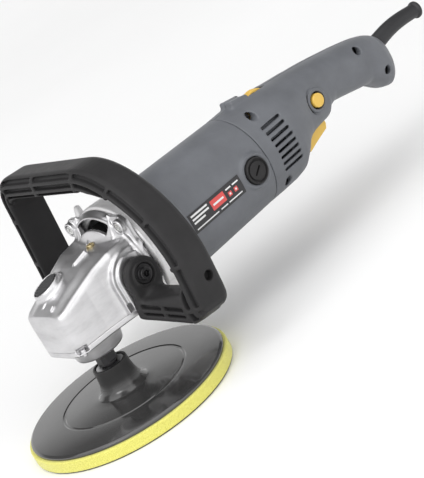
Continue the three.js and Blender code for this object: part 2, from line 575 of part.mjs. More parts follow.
function makeHandle() {
  const whole = handleSolid();
  const triggerSlot = box(259.5, 293, -8.8, 8.8, 50, 90);
  const dialSlot = box(229.6, 256.4, -4.9, 4.9, 120, 150);
  const bootHole = turnedZ([[0, -20], [9, -20], [9, -4], [13, -4], [13, 20], [0, 20]], 24);
  bootHole.rotateY(Math.PI / 2).translate(388, 0, 101.8);
  const openings = [triggerSlot, dialSlot, bootHole];
  for (const [name, side] of [['left', -1], ['right', 1]]) {
    const half = box(190, 400, side < 0 ? -60 : 0.15, side < 0 ? -0.15 : 60, 40, 160);
    const posts = HANDLE_SCREWS.map(([x, z, reach]) => rodY(x, z, 4.6, 0.15, reach, side, 16));
    const bores = HANDLE_SCREWS.map(([x, z, reach]) => rodY(
      x, z, 1.9, -2, side < 0 ? 60 : reach - 6, side, 12));
    const near = side < 0 ? nearSideFeatures() : { bezel: [], holes: [] };
    const shell = join(common(whole, half), ...posts, ...near.bezel);
    const holes = [...openings, ...bores, ...near.holes, ...ventSlots(side)];
    piece(`handle_shell_${name}`, cut(shell, ...holes), MATERIAL.greyPlastic);
  }
  HANDLE_SCREWS.forEach(([x, z, reach], k) => {
    const profile = [
      [0, -9], [1.5, -9], [1.5, reach - 6.7], [3.4, reach - 6.7], [3.4, reach - 4], [0, reach - 4],
    ];
    piece(`handle_screw_${k + 1}`, turnedY(profile, x, z, -1, 14), MATERIAL.steel);
  });
}

function makeControls() {
  const outline = [
    [270.6, 84.6], [268.6, 79], [261.6, 67.6], [263, 66.2], [275.4, 70], [289.6, 73.8],
    [291.8, 78], [291.4, 84],
  ];
  const profile = new THREE.Shape(outline.map((p) => new THREE.Vector2(...p)));
  const bevel = { bevelSize: 0.8, bevelThickness: 1, bevelSegments: 1, bevelOffset: -0.8 };
  const lever = new THREE.ExtrudeGeometry(profile, { depth: 2 * TRIGGER_HALF - 2, ...bevel });
  lever.rotateX(Math.PI / 2).translate(0, TRIGGER_HALF - 1, 0);
  piece('trigger', closed(lever), MATERIAL.yellowPlastic);
  piece('trigger_spring', coil(288, 0, 3.2, 0.5, 84.4, 93.6, 3), MATERIAL.steel);
  piece('switch_module', box(264, 304, -11.4, 11.4, 95, 121), MATERIAL.blackPlastic);
  const { inner, outer, radius } = LOCK_ON;
  const button = [
    [0, inner], [4, inner], [4, inner + 3], [radius, inner + 3], [radius, outer - 1], [radius - 0.8, outer],
    [0, outer],
  ];
  piece('lock_on_button', turnedY(button, LOCK_ON.x, LOCK_ON.z, -1, 24), MATERIAL.yellowPlastic);
  const wheel = [
    [0, -DIAL.axleHalf], [DIAL.axle, -DIAL.axleHalf], [DIAL.axle, -DIAL.half],
    [DIAL.radius - 1, -DIAL.half], [DIAL.radius, 1 - DIAL.half],
    [DIAL.radius, DIAL.half - 1], [DIAL.radius - 1, DIAL.half],
    [DIAL.axle, DIAL.half], [DIAL.axle, DIAL.axleHalf], [0, DIAL.axleHalf],
  ];
  piece('speed_dial', turnedY(wheel, DIAL.x, DIAL.z, 1, 36), MATERIAL.yellowPlastic);
  const ears = [-1, 1].map((s) => box(236, 250, s > 0 ? 4.7 : -7.7, s > 0 ? 7.7 : -4.7, 108, 133));
  const bore = rodY(DIAL.x, DIAL.z, DIAL.axle + GAP, -20, 20, 1, 16);
  const holder = cut(join(box(226, 259, -16, 16, 100, 112), ...ears), bore);
  piece('speed_controller', holder, MATERIAL.blackPlastic);
}

// The cord's strain relief: a curved, slightly tapering sleeve with an open bore and a rolled lip.
const BOOT_ROUTE = [[376, 100.6], [388, 102.2], [402, 104.4], [416, 104.9], [430, 104.2], [446, 102.4]];
const BOOT = { rootRadius: 7.9, tipRadius: 6.5, lip: 7.9, bore: 3.9, steps: 8, grip: 10.4 };

function makeBoot() {
  const route = new THREE.CatmullRomCurve3(BOOT_ROUTE.map(([x, z]) => new THREE.Vector3(x, 0, z)));
  const ring = (t, r, sides = 12) => {
    const inside = THREE.MathUtils.clamp(t, 0, 1);
    const along = route.getTangent(inside);
    const centre = route.getPoint(inside).addScaledVector(along, (t - inside) * route.getLength());
    const up = new THREE.Vector3(-along.z, 0, along.x);
    return Array.from({ length: sides }, (_, k) => {
      const turn = (2 * Math.PI * k) / sides;
      const across = new THREE.Vector3(0, r * Math.sin(turn), 0);
      return centre.clone().addScaledVector(up, r * Math.cos(turn)).add(across);
    });
  };
  const wide = (t) => THREE.MathUtils.lerp(BOOT.rootRadius, BOOT.tipRadius, t);
  const stops = Array.from({ length: BOOT.steps + 1 }, (_, k) => k / BOOT.steps);
  const sleeve = stops.slice(0, -1).map((t) => ring(t, wide(t)));
  const lip = [ring(0.965, BOOT.lip), ring(0.995, BOOT.lip), ring(1, BOOT.lip - 0.6)];
  const skin = loft([...sleeve, ring(0.955, BOOT.tipRadius), ...lip]);
  const bore = loft([-0.04, 0.3, 0.6, 0.9, 1.04].map((t) => ring(t, BOOT.bore, 8)));
  const grip = turnedZ(rod(BOOT.grip, 0, 4), 20).rotateY(Math.PI / 2).translate(374.5, 0, 100.6);
  piece('cord_boot', cut(join(skin, grip), bore), MATERIAL.rubber);
  const saddle = cut(box(350, 360, -12, 12, 96.6, 102.4), rodAt(3.6, 0, 103.4 - MOTOR_Z, 340, 370));
  piece('cord_clamp', saddle, MATERIAL.blackPlastic);
}

// ---------------------------------------------------------------- D handle
// Outline of the loop in its own plane: the near side is one large arc, the far side a tight corner.
function loopOutline() {
  const shape = new THREE.Shape();
  shape.moveTo(-46, 63.4);
  shape.lineTo(-96, 55.2);
  shape.quadraticCurveTo(-107, 53.4, -107, 65);
  shape.lineTo(-107, 94);
  shape.bezierCurveTo(-107, 143, -57, 189, -12, 189);
  shape.lineTo(83, 189);
  shape.quadraticCurveTo(107, 189, 107, 165);
  shape.lineTo(107, 65);
  shape.quadraticCurveTo(107, 53.4, 96, 55.2);
  shape.lineTo(46, 63.4);
  shape.lineTo(46, 80);
  shape.lineTo(80, 80);
  shape.quadraticCurveTo(93, 80, 93, 93);
  shape.lineTo(93, 155);
  shape.quadraticCurveTo(93, 171, 77, 171);
  shape.lineTo(-12, 171);
  shape.bezierCurveTo(-57, 171, -93, 146, -93, 94);
  shape.quadraticCurveTo(-93, 80, -80, 80);
  shape.lineTo(-46, 80);
  return shape;
}

// One foot of the loop: a cheek against the case's side pad and a web out to the loop's corner.
function loopFoot(side) {
  const { x, z, radius, drop, inner, outer } = BOSS;
  const outline = [[24.5, 64], [57, 62.6], [x + radius - 0.5, z - 4], [x - radius + 0.5, z - 4]];
  const cheek = new THREE.Shape(outline.map((p) => new THREE.Vector2(...p)));
  const plate = new THREE.ExtrudeGeometry(cheek, { depth: outer - inner, bevelEnabled: false });
  plate.rotateX(Math.PI / 2).translate(0, side > 0 ? outer : -inner, 0);
  const frame = (y, front, rear, low) => [[front, low], [rear, low], [rear, 80], [front, 80]].map(
    ([px, pz]) => new THREE.Vector3(px, side * y, pz));
  const web = loft([frame(inner, 24.2, 57, 64), frame(98, 35, 66, 55)]);
  return [plate, web, rodY(x, z - drop, radius, inner, outer, side, 32)];
}

// Between a cheek and its arm, the loop's lower bar is shallower than the loop.
const shallowBar = (side) => box(53, 80, ...(side > 0 ? [52.3, 91] : [-91, -52.3]), 40, 84);

function makeLoopHandle() {
  const round = 4.4;
  const bevel = { bevelSize: round, bevelThickness: round, bevelOffset: -round, bevelSegments: 2 };
  const depth = LOOP.depth - 2 * round;
  const loop = new THREE.ExtrudeGeometry(loopOutline(), { depth, curveSegments: 6, ...bevel });
  loop.rotateX(Math.PI / 2).rotateZ(Math.PI / 2).translate(round, 0, -LOOP.leanZ);
  loop.rotateY(LOOP.lean).translate(LOOP.frontX, 0, LOOP.leanZ);
  const feet = [-1, 1].flatMap(loopFoot);
  const holes = [-1, 1].flatMap((side) => [
    rodY(BOSS.x, BOSS.z, 4.4, 40, 60, side, 16), rodY(BOSS.x, BOSS.z, 9, 47.4, 60, side, 24),
    shallowBar(side),
  ]);
  piece('d_handle', cut(join(loop, ...feet), ...holes), MATERIAL.blackPlastic);
  for (const [name, side] of [['left', -1], ['right', 1]]) {
    const bolt = [
      [0, 28], [3.8, 28], [3.8, 47.8], [8.4, 47.8], [8.4, 51.4], [3.4, 51.4], [3.4, 48.6], [0, 48.6],
    ];
    piece(`handle_bolt_${name}`, turnedY(bolt, BOSS.x, BOSS.z, side, 24), MATERIAL.darkSteel);
  }
}

makePad();
makeSpindle();
makeCrownGear();
makePinion();
makeGearCase();
makeBearingPlate();
makeHeadScrews();
makeSpindleLock();
makeBell();
makeArmature();
makeStator();
makeMotorHousing();
makeBrushGear();
makeLabel();
makeHandle();
makeControls();
makeBoot();
makeLoopHandle();

export default polisher;
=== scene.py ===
"""The looks of the rotary polisher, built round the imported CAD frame.

Shapes are designed in millimetres in the part's own frame (origin at the pad's working
face, +Z up the spindle, +X back along the motor) and become Blender meshes in metres.
Cast and moulded pieces are distance fields on a fine grid, which gives them real fillets.
"""

import json
import math

import bpy
import numpy as np
from mathutils import Matrix, Vector


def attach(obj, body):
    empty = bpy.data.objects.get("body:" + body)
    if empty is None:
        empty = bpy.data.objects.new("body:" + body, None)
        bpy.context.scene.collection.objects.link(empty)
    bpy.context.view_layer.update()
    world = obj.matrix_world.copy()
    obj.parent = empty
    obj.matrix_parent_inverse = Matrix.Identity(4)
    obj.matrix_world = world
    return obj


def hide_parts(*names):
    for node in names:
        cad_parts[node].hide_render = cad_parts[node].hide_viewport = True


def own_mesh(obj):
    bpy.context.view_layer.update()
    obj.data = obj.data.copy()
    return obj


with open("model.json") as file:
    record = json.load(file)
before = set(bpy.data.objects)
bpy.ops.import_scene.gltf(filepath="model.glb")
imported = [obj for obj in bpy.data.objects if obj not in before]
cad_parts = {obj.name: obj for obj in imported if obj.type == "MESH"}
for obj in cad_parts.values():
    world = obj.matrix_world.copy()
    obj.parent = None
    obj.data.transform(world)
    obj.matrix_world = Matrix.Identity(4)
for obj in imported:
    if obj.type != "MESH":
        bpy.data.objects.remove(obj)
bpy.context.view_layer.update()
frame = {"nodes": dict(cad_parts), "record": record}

MM = 0.001
GRID = 1.0
TURN = 144      # facets round a large turned piece

MOTOR_Z = 98.8
MOTOR_FRONT, MOTOR_REAR = 97.4, 197.2
MOTOR_TAPER, MOTOR_REAR_RADIUS = -0.0246, 42.5
BELL_FRONT, BELL_REAR = 58.0, 97.0
BRUSH_X = 181.3
BOSS_X, BOSS_Z = 40.0, 97.0
LOCK_X, LOCK_Y, LOCK_TOP = -5.5, 13.0, 119.3
LOCK_TILT, LOCK_ROLL = 0.285, 0.09
LOCK_LEAN = ((LOCK_X, LOCK_Y, LOCK_TOP), LOCK_TILT, LOCK_ROLL)
LOCK_ON_X, LOCK_ON_Z = 279.0, 106.5
DIAL_X, DIAL_Z, DIAL_RADIUS = 243.0, 127.6, 14.0


def motor_radius(x):
    return MOTOR_REAR_RADIUS + MOTOR_TAPER * (x - MOTOR_REAR)


def outwards(side, near, far):
    """Two distances from the middle plane as (lower y, higher y) on one side."""
    return sorted((side * near, side * far))


# ---- node materials
def fill_ramp(ramp, stops):
    """Gives a colour ramp its stops, each (place, colour)."""
    while len(ramp.elements) < len(stops):
        ramp.elements.new(0.5)
    for element, (place, colour) in zip(ramp.elements, stops):
        element.position = place
        element.color = (*colour, 1.0)


class Nodes:
    """A short way to build one material's node tree."""

    def __init__(self, name):
        self.material = bpy.data.materials.new(name)
        self.material.use_nodes = True
        self.tree = self.material.node_tree
        self.shader = self.tree.nodes["Principled BSDF"]
        self.where = self.add("ShaderNodeTexCoord").outputs["Object"]

    def add(self, kind, inputs=None, **settings):
        node = self.tree.nodes.new(kind)
        for key, value in settings.items():
            setattr(node, key, value)
        self.put(node, inputs or {})
        return node

    def put(self, node, inputs):
        """Fills a node's inputs with plain values or with links from other nodes' sockets."""
        for key, value in inputs.items():
            if isinstance(value, bpy.types.NodeSocket):
                self.tree.links.new(value, node.inputs[key])
            else:
                node.inputs[key].default_value = value

    def set(self, **values):
        """Fills the shader's inputs; an underscore stands for a space in a name."""
        self.put(self.shader, {key.replace("_", " "): value for key, value in values.items()})

    def noise(self, scale, detail=3.0, rough=0.5, stretch=None):
        where = self.where
        if stretch:
            where = self.add("ShaderNodeMapping", {"Vector": where, "Scale": stretch}).outputs["Vector"]
        settings = {"Vector": where, "Scale": scale, "Detail": detail, "Roughness": rough}
        return self.add("ShaderNodeTexNoise", settings).outputs["Fac"]

    def cells(self, scale):
        """The distance to the nearest of many scattered points."""
        settings = {"Vector": self.where, "Scale": scale}
        return self.add("ShaderNodeTexVoronoi", settings, feature="F1").outputs["Distance"]

    def ramp(self, factor, stops):
        node = self.add("ShaderNodeValToRGB", {"Fac": factor})
        fill_ramp(node.color_ramp, stops)
        return node.outputs["Color"]

    def spread(self, factor, low, high, start=0.0, end=1.0):
        """Low to high as the factor runs from start to end."""
        limits = {"From Min": start, "From Max": end, "To Min": low, "To Max": high}
        return self.add("ShaderNodeMapRange", {"Value": factor, **limits}).outputs["Result"]

    def bump(self, height, strength, distance):
        """Adds a bump layer over any that is already there."""
        node = self.add("ShaderNodeBump", {"Height": height, "Strength": strength, "Distance": distance})
        links = self.shader.inputs["Normal"].links
        if links:
            self.put(node, {"Normal": links[0].from_socket})
        self.set(Normal=node.outputs["Normal"])


def shade(colour, factor):
    return tuple(min(1.0, c * factor) for c in colour)


def moulded(name, colour, rough, grain=1400.0, grain_depth=0.00006, varied=0.12, coat=0.0, shine=0.5):
    """Injection-moulded plastic: fine spark-eroded grain, faint clouds and handling marks."""
    m = Nodes(name)
    clouds = m.noise(38.0, 4.0, 0.6)
    m.set(Base_Color=m.ramp(clouds, [(0.3, shade(colour, 1 - varied)), (0.7, shade(colour, 1 + varied))]),
          Roughness=m.spread(m.noise(210.0, 3.0, 0.7), rough - 0.07, rough + 0.07),
          Coat_Weight=coat, Coat_Roughness=0.3, Specular_IOR_Level=shine)
    m.bump(m.noise(grain, 2.0, 0.5), 0.5, grain_depth)
    return m.material


def cast_metal(name, colour, rough, metallic=1.0):
    """Bright die-cast aluminium: metal with level brush lines, soft waviness and dull patches."""
    m = Nodes(name)
    brushed = m.noise(330.0, 4.0, 0.65, (0.12, 0.12, 1.6))
    mottled = m.noise(60.0, 5.0, 0.62, (0.5, 0.5, 1.6))
    m.set(Base_Color=m.ramp(mottled, [(0.3, shade(colour, 0.84)), (0.5, colour), (0.72, shade(colour, 1.1))]),
          Roughness=m.spread(brushed, rough - 0.09, rough + 0.11), Metallic=metallic)
    m.bump(m.noise(30.0, 2.0, 0.4), 0.12, 0.0004)
    m.bump(brushed, 0.35, 0.00005)
    m.bump(m.noise(1100.0, 2.0, 0.5), 0.25, 0.00003)
    return m.material


def machined(name, colour, rough, metallic=1.0, lines=(1.0, 1.0, 9.0)):
    """Turned or ground metal: fine lines across the given axis and a little tarnish."""
    m = Nodes(name)
    streak = m.noise(420.0, 3.0, 0.6, lines)
    tarnish = m.noise(60.0, 4.0, 0.6)
    m.set(Base_Color=m.ramp(tarnish, [(0.3, shade(colour, 0.82)), (0.7, shade(colour, 1.08))]),
          Roughness=m.spread(streak, rough - 0.06, rough + 0.1), Metallic=metallic)
    m.bump(streak, 0.4, 0.00004)
    return m.material


def foam_material():
    """Closed-cell foam: a lemon colour with darker pores at two sizes."""
    m = Nodes("pad_foam")
    pores = m.noise(1300.0, 2.0, 0.6)
    m.set(Base_Color=m.ramp(pores, [(0.28, (0.50, 0.47, 0.09)), (0.5, (0.68, 0.65, 0.15)),
                                    (0.75, (0.76, 0.73, 0.24))]),
          Roughness=0.92, Sheen_Weight=0.25, Sheen_Roughness=0.5, Specular_IOR_Level=0.25)
    m.bump(m.cells(900.0), 0.6, 0.0004)
    m.bump(pores, 0.5, 0.0003)
    return m.material


def hook_material():
    """Hook fabric: a dark cloth with small upright loops in rows."""
    m = Nodes("pad_hook")
    rows = m.cells(700.0)
    m.set(Base_Color=m.ramp(rows, [(0.1, (0.09, 0.09, 0.075)), (0.6, (0.02, 0.02, 0.018))]),
          Roughness=0.9, Sheen_Weight=0.3)
    m.bump(rows, 0.8, 0.0005)
    return m.material


def disc_material():
    """Smooth glossy moulded disc with faint swirl marks and dust; its hub is less polished and darker, the
    darkness a painted shade for the hub's dark reflection.
    """
    m = Nodes("gloss_plastic")
    height = m.add("ShaderNodeSeparateXYZ", {"Vector": m.where}).outputs["Z"]
    hub_foot, hub_neck = 0.0175, 0.027      # heights in metres between which the polish fades and the painted hub shade deepens

    def towards_hub(low, high):
        return m.spread(height, low, high, hub_foot, hub_neck)
    dusty = m.ramp(m.noise(18.0, 4.0, 0.6), [(0.3, (0.032, 0.0315, 0.0315)), (0.75, (0.048, 0.047, 0.047))])
    # painted shade: the dusty colour is scaled darker towards the hub, standing in for the dark reflection
    # there
    dust_and_hub_shade = m.add("ShaderNodeVectorMath", {0: dusty, "Scale": towards_hub(1.0, 0.6)}, operation="SCALE")
    swirls = m.spread(m.noise(120.0, 4.0, 0.7), 0.06, 0.15)
    dull = m.add("ShaderNodeMath", {0: swirls, 1: towards_hub(0.0, 0.22)}, operation="ADD")
    m.set(Base_Color=dust_and_hub_shade.outputs["Vector"], Roughness=dull.outputs["Value"],
          Specular_IOR_Level=towards_hub(1.0, 0.28))
    m.bump(m.noise(22.0, 2.0, 0.5), 0.1, 0.0003)
    return m.material


GREY = (0.117, 0.123, 0.136)
BLACK = (0.029, 0.0282, 0.029)
YELLOW = (0.70, 0.45, 0.08)
FINE = {"grain": 500.0, "grain_depth": 0.00001}      # smooth printed film
MADE = (  # how it is made, name, colour, roughness, the rest
    (cast_metal, "cast_aluminium", (0.65, 0.645, 0.655), 0.38, {}),
    # painted light: a brighter, half-metallic copy of the cast aluminium that lifts the bell out of the D
    # handle's dark reflection and shadow
    (cast_metal, "bell_aluminium", (0.78, 0.775, 0.78), 0.55, {"metallic": 0.5}),
    (machined, "bearing_steel", (0.66, 0.66, 0.67), 0.28, {}),
    (machined, "screw_steel", (0.70, 0.70, 0.69), 0.3, {"lines": (4.0, 4.0, 1.0)}),
    (machined, "dark_steel", (0.045, 0.044, 0.046), 0.36, {"metallic": 0.7}),
    (machined, "brass", (0.60, 0.50, 0.28), 0.38, {}),
    (machined, "copper", (0.62, 0.27, 0.12), 0.35, {"lines": (9.0, 1.0, 1.0)}),
    (moulded, "carbon", (0.03, 0.03, 0.032), 0.75, {}),
    (moulded, "grey_plastic", GREY, 0.5, {"coat": 0.08}),
    (moulded, "black_plastic", BLACK, 0.46, {"grain_depth": 0.00008, "shine": 0.14}),
    (moulded, "yellow_plastic", YELLOW, 0.38, {"grain_depth": 0.00003, "varied": 0.05, "coat": 0.2}),
    (moulded, "black_rubber", (0.016, 0.016, 0.018), 0.5, {"grain": 900.0, "grain_depth": 0.00012}),
    (moulded, "label", (0.022, 0.021, 0.023), 0.36, FINE),
    (moulded, "label_ink", (0.72, 0.72, 0.72), 0.4, {**FINE, "varied": 0.06}),
    (moulded, "label_red", (0.62, 0.075, 0.07), 0.4, {**FINE, "varied": 0.08}),
)
MATERIALS = {name: make(name, colour, rough, **rest) for make, name, colour, rough, rest in MADE}
MATERIALS.update(gloss_plastic=disc_material(), pad_foam=foam_material(), pad_hook=hook_material())


# ---- making pieces
def add_object(name, data):
    thing = bpy.data.objects.new(name, data)
    bpy.context.scene.collection.objects.link(thing)
    return thing


def new_piece(name, body, slot, points, faces, replaces=(), material=None):
    """A smooth mesh from points in millimetres, riding on a CAD body."""
    mesh = bpy.data.meshes.new(name)
    mesh.from_pydata((np.asarray(points, float) * MM).tolist(), [], [list(map(int, f)) for f in faces])
    mesh.validate()
    mesh.shade_smooth()
    mesh.materials.append(MATERIALS[material or slot])
    mesh.update()
    piece = add_object(name, mesh)
    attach(piece, body)
    if replaces:
        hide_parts(*replaces)
    return piece


def crease(piece, degrees=35.0):
    """Keeps edges sharper than the angle crisp."""
    piece.data.set_sharp_from_angle(angle=math.radians(degrees))
    return piece


def face_out(piece):
    """Turns a closed mesh's faces outwards."""
    mesh = piece.data
    co = np.empty(len(mesh.vertices) * 3)
    mesh.vertices.foreach_get("co", co)
    mesh.calc_loop_triangles()
    tri = np.empty(len(mesh.loop_triangles) * 3, np.int64)
    mesh.loop_triangles.foreach_get("vertices", tri)
    a, b, c = (co.reshape(-1, 3)[tri.reshape(-1, 3)[:, k]] for k in range(3))
    if (a * np.cross(b, c)).sum() < 0:
        mesh.flip_normals()


def ring_faces(rows, facets, closed=False):
    """Quads between rows of points, each row a closed ring, and end caps unless the rows close too."""
    faces = []
    for r in range(rows if closed else rows - 1):
        n = (r + 1) % rows
        for k in range(facets):
            m = (k + 1) % facets
            faces.append((r * facets + k, n * facets + k, n * facets + m, r * facets + m))
    if not closed:
        last = rows * facets
        faces += [tuple(range(facets)), tuple(range(last - 1, last - 1 - facets, -1))]
    return faces


def rounded(points, closed=False, steps=5):
    """An outline with corner radii: each point is (a, b) or (a, b, radius)."""
    spots = [np.array(point[:2], float) for point in points]
    count, out = len(points), []
    for k, (point, here) in enumerate(zip(points, spots)):
        if len(point) < 3 or (not closed and k in (0, count - 1)):
            out.append(tuple(here))
            continue
        before, after = spots[k - 1] - here, spots[(k + 1) % count] - here
        long_before, long_after = np.linalg.norm(before), np.linalg.norm(after)
        before, after = before / long_before, after / long_after
        half = math.acos(max(-1.0, min(1.0, float(before @ after)))) / 2
        reach = min(point[2] / math.tan(half), long_before * 0.49, long_after * 0.49)
        start, end = here + before * reach, here + after * reach
        for t in np.linspace(0, 1, steps + 1):
            out.append(tuple((1 - t) ** 2 * start + 2 * t * (1 - t) * here + t * t * end))
    return out


AXES = {"Z": ((1, 0, 0), (0, 1, 0), (0, 0, 1)), "X": ((0, 1, 0), (0, 0, 1), (1, 0, 0)),
        "Y": ((0, 0, 1), (1, 0, 0), (0, 1, 0)), "-Y": ((1, 0, 0), (0, 0, 1), (0, -1, 0))}


def revolve(profile, axis="Z", origin=(0, 0, 0), facets=None, ring=False):
    """Points and faces of a profile of (radius, height) turned about an axis through origin."""
    facets = facets or TURN
    side, other, along = (np.array(v, float) for v in AXES[axis])
    points, rows = [], []
    for radius, height in profile:
        count = facets if radius > 1e-6 else 1      # a row on the axis is one point
        rows.append(range(len(points), len(points) + count))
        for k in range(count):
            turn = 2 * math.pi * k / facets
            spoke = math.cos(turn) * side + math.sin(turn) * other
            points.append(np.array(origin) + radius * spoke + along * height)
    faces = []
    for low, high in zip(rows, rows[1:] + rows[:1] if ring else rows[1:]):
        for k in range(facets):
            n = (k + 1) % facets
            corners = (low[k % len(low)], low[n % len(low)], high[n % len(high)], high[k % len(high)])
            face = tuple(dict.fromkeys(corners))
            if len(face) > 2:
                faces.append(face)
    return points, faces


def turned(name, body, slot, profile, replaces=(), material=None, sharp=35.0, **where):
    points, faces = revolve(profile, **where)
    return crease(new_piece(name, body, slot, points, faces, replaces, material), sharp)


# ---- distance fields
FAR = 100.0     # what an empty field holds


def smooth_min(a, b, blend):
    """The lower of two distances, with the crease between them filled."""
    if blend <= 0:
        return np.minimum(a, b)
    h = np.clip(0.5 + 0.5 * (b - a) / blend, 0, 1)
    return b + (a - b) * h - blend * h * (1 - h)


def smooth_max(a, b, blend):
    return -smooth_min(-a, -b, blend)


def round_max(a, b, radius):
    """Where both hold, with the outside edge between them rounded."""
    corner = np.sqrt(np.maximum(a + radius, 0) ** 2 + np.maximum(b + radius, 0) ** 2)
    return np.minimum(np.maximum(a, b), -radius) + corner


class Field:
    """Signed distances on an even grid of points, in millimetres; inside is negative."""

    def __init__(self, low, high, step):
        self.step = step * GRID
        self.axes = [np.arange(a - 2.2 * self.step, b + 2.6 * self.step, self.step, dtype=np.float32)
                     for a, b in zip(low, high)]
        self.d = np.full([len(a) for a in self.axes], FAR, np.float32)

    def copy(self, empty=False):
        """A second field on the same grid, with the same shape or with nothing in it."""
        twin = Field.__new__(Field)
        twin.step, twin.axes = self.step, self.axes
        twin.d = np.full_like(self.d, FAR) if empty else self.d.copy()
        return twin

    def grid(self, window=(slice(None),) * 3):
        """The coordinates of the field's points, ready to broadcast."""
        x, y, z = (a[w] for a, w in zip(self.axes, window))
        return x[:, None, None], y[None, :, None], z[None, None, :]

    def add(self, shape, blend=0.0, sign=1):
        """Joins a shape on, or takes it away where sign is -1."""
        distance, low, high = shape
        margin = blend + 3 * self.step
        window = tuple(slice(*np.searchsorted(a, (lo - margin, hi + margin)))
                       for a, lo, hi in zip(self.axes, low, high))
        if self.d[window].size:
            apart = distance(*self.grid(window))
            self.d[window] = sign * smooth_min(sign * self.d[window], apart, blend)

    def cut(self, shape, blend=0.0):
        self.add(shape, blend, -1)

    def trim(self, axis, side, value, blend):
        """Cuts off at a plane: side 1 keeps what is below value, -1 what is above."""
        beyond = side * (self.grid()["xyz".index(axis)] - value)
        self.d = smooth_max(self.d, beyond, blend)

    def surface(self):
        """Points and quads of the zero surface, by surface nets."""
        cells = np.array(self.d.shape) - 1
        size = int(cells.prod())
        count, *total = (np.zeros(size, np.float32) for _ in range(4))
        spread = np.array([cells[1] * cells[2], cells[2], 1])
        quads = []
        for axis in range(3):
            u, v = (axis + 1) % 3, (axis + 2) % 3
            near, far = [slice(None)] * 3, [slice(None)] * 3
            near[axis], far[axis] = slice(None, -1), slice(1, None)
            a, b = self.d[tuple(near)], self.d[tuple(far)]
            place = np.argwhere((a < 0) != (b < 0))
            place = place[(place[:, u] > 0) & (place[:, v] > 0)
                          & (place[:, u] < cells[u]) & (place[:, v] < cells[v])]
            va, vb = a[tuple(place.T)], b[tuple(place.T)]
            point = place.astype(np.float32)
            point[:, axis] += va / (va - vb)
            corner = []
            for du, dv in ((1, 1), (0, 1), (0, 0), (1, 0)):
                cell = place.copy()
                cell[:, u] -= du
                cell[:, v] -= dv
                flat = cell @ spread
                corner.append(flat)
                for sums, weight in zip((count, *total), (None, *point.T)):
                    sums += np.bincount(flat, weight, minlength=size).astype(np.float32)
            quad = np.stack(corner, 1)
            quad[va > vb] = quad[va > vb][:, ::-1]
            quads.append(quad)
        used = np.flatnonzero(count)
        number = np.zeros(size, np.int64)
        number[used] = np.arange(len(used))
        points = np.stack([t[used] / count[used] for t in total], 1) * self.step
        points += np.array([a[0] for a in self.axes])
        return points, number[np.concatenate(quads)][:, ::-1]


def block(low, high, radius=0.0):
    """A box with rounded edges."""
    centre = [(a + b) / 2 for a, b in zip(low, high)]
    half = [(b - a) / 2 - radius for a, b in zip(low, high)]

    def distance(x, y, z):
        q = [np.abs(p - c) - h for p, c, h in zip((x, y, z), centre, half)]
        outside = np.sqrt(sum(np.maximum(v, 0) ** 2 for v in q))
        return outside + np.minimum(np.maximum(np.maximum(q[0], q[1]), q[2]), 0) - radius
    return distance, low, high


def spans_box(k, low, high, others):
    """The corners of a box from low to high along axis k and over the spans of the other two."""
    spans = [*others[:k], (low, high), *others[k:]]
    return [s[0] for s in spans], [s[1] for s in spans]


def bar(axis, centre, radius, low, high, edge=0.0, end_radius=None):
    """A rod or cone along an axis ('x', 'y' or 'z') from low to high, with rounded rims."""
    k = "xyz".index(axis)
    end_radius = radius if end_radius is None else end_radius
    widest = max(radius, end_radius)
    i, j = (n for n in range(3) if n != k)
    slope = (end_radius - radius) / (high - low)
    lean = 1 / math.sqrt(1 + slope * slope)

    def distance(*p):
        away = np.sqrt((p[i] - centre[0]) ** 2 + (p[j] - centre[1]) ** 2)
        wall = (away - (radius + slope * (p[k] - low))) * lean
        return round_max(wall, np.abs(p[k] - (low + high) / 2) - (high - low) / 2, edge)
    return distance, *spans_box(k, low, high, [(c - widest, c + widest) for c in centre])


def post(radius, low, high, edge, end_radius=None):
    """A bar up the z axis, which is the spindle's."""
    return bar("z", (0, 0), radius, low, high, edge, end_radius)


def on_motor(radius, low, high, edge, end_radius=None):
    """A bar along the motor's axis."""
    return bar("x", (0, MOTOR_Z), radius, low, high, edge, end_radius)


def capsule(start, end, radius, end_radius=None):
    """A round-ended rod between two points, which may taper."""
    a, b = np.array(start, float), np.array(end, float)
    line = b - a
    end_radius = radius if end_radius is None else end_radius
    widest = max(radius, end_radius)

    def distance(*p):
        t = sum((v - c) * d for v, c, d in zip(p, a, line)) / float(line @ line)
        t = np.clip(t, 0, 1)
        away = np.sqrt(sum((v - c - t * d) ** 2 for v, c, d in zip(p, a, line)))
        return away - (radius + (end_radius - radius) * t)
    return distance, list(np.minimum(a, b) - widest), list(np.maximum(a, b) + widest)


def tilted(shape, pivot, tilt, roll=0.0, reach=4.0):
    """An upright shape whose top leans towards -X by tilt and towards +Y by roll."""
    distance, low, high = shape
    ct, st, cr, sr = math.cos(tilt), math.sin(tilt), math.cos(roll), math.sin(roll)

    def turned_distance(x, y, z):
        dx, dy, dz = x - pivot[0], y - pivot[1], z - pivot[2]
        along, up = dx * ct + dz * st, -dx * st + dz * ct
        side, up = dy * cr - up * sr, dy * sr + up * cr
        return distance(pivot[0] + along, pivot[1] + side, pivot[2] + up)
    return turned_distance, [v - reach for v in low], [v + reach for v in high]


def along_path(path, u, v):
    """Distance from (u, v) to an open path, and how far along the path its nearest point is."""
    best = np.full(np.broadcast(u, v).shape, 1e9, np.float32)
    place = np.zeros(best.shape, np.float32)
    travelled = 0.0
    for (ax, ay), (bx, by) in zip(path, path[1:]):
        ex, ey = bx - ax, by - ay
        long = math.hypot(ex, ey)
        if long < 1e-6:
            continue
        t = np.clip(((u - ax) * ex + (v - ay) * ey) / long ** 2, 0, 1)
        away = (u - ax - ex * t) ** 2 + (v - ay - ey * t) ** 2
        closer = away < best
        best = np.where(closer, away, best)
        place = np.where(closer, travelled + t * long, place)
        travelled += long
    return np.sqrt(best), place


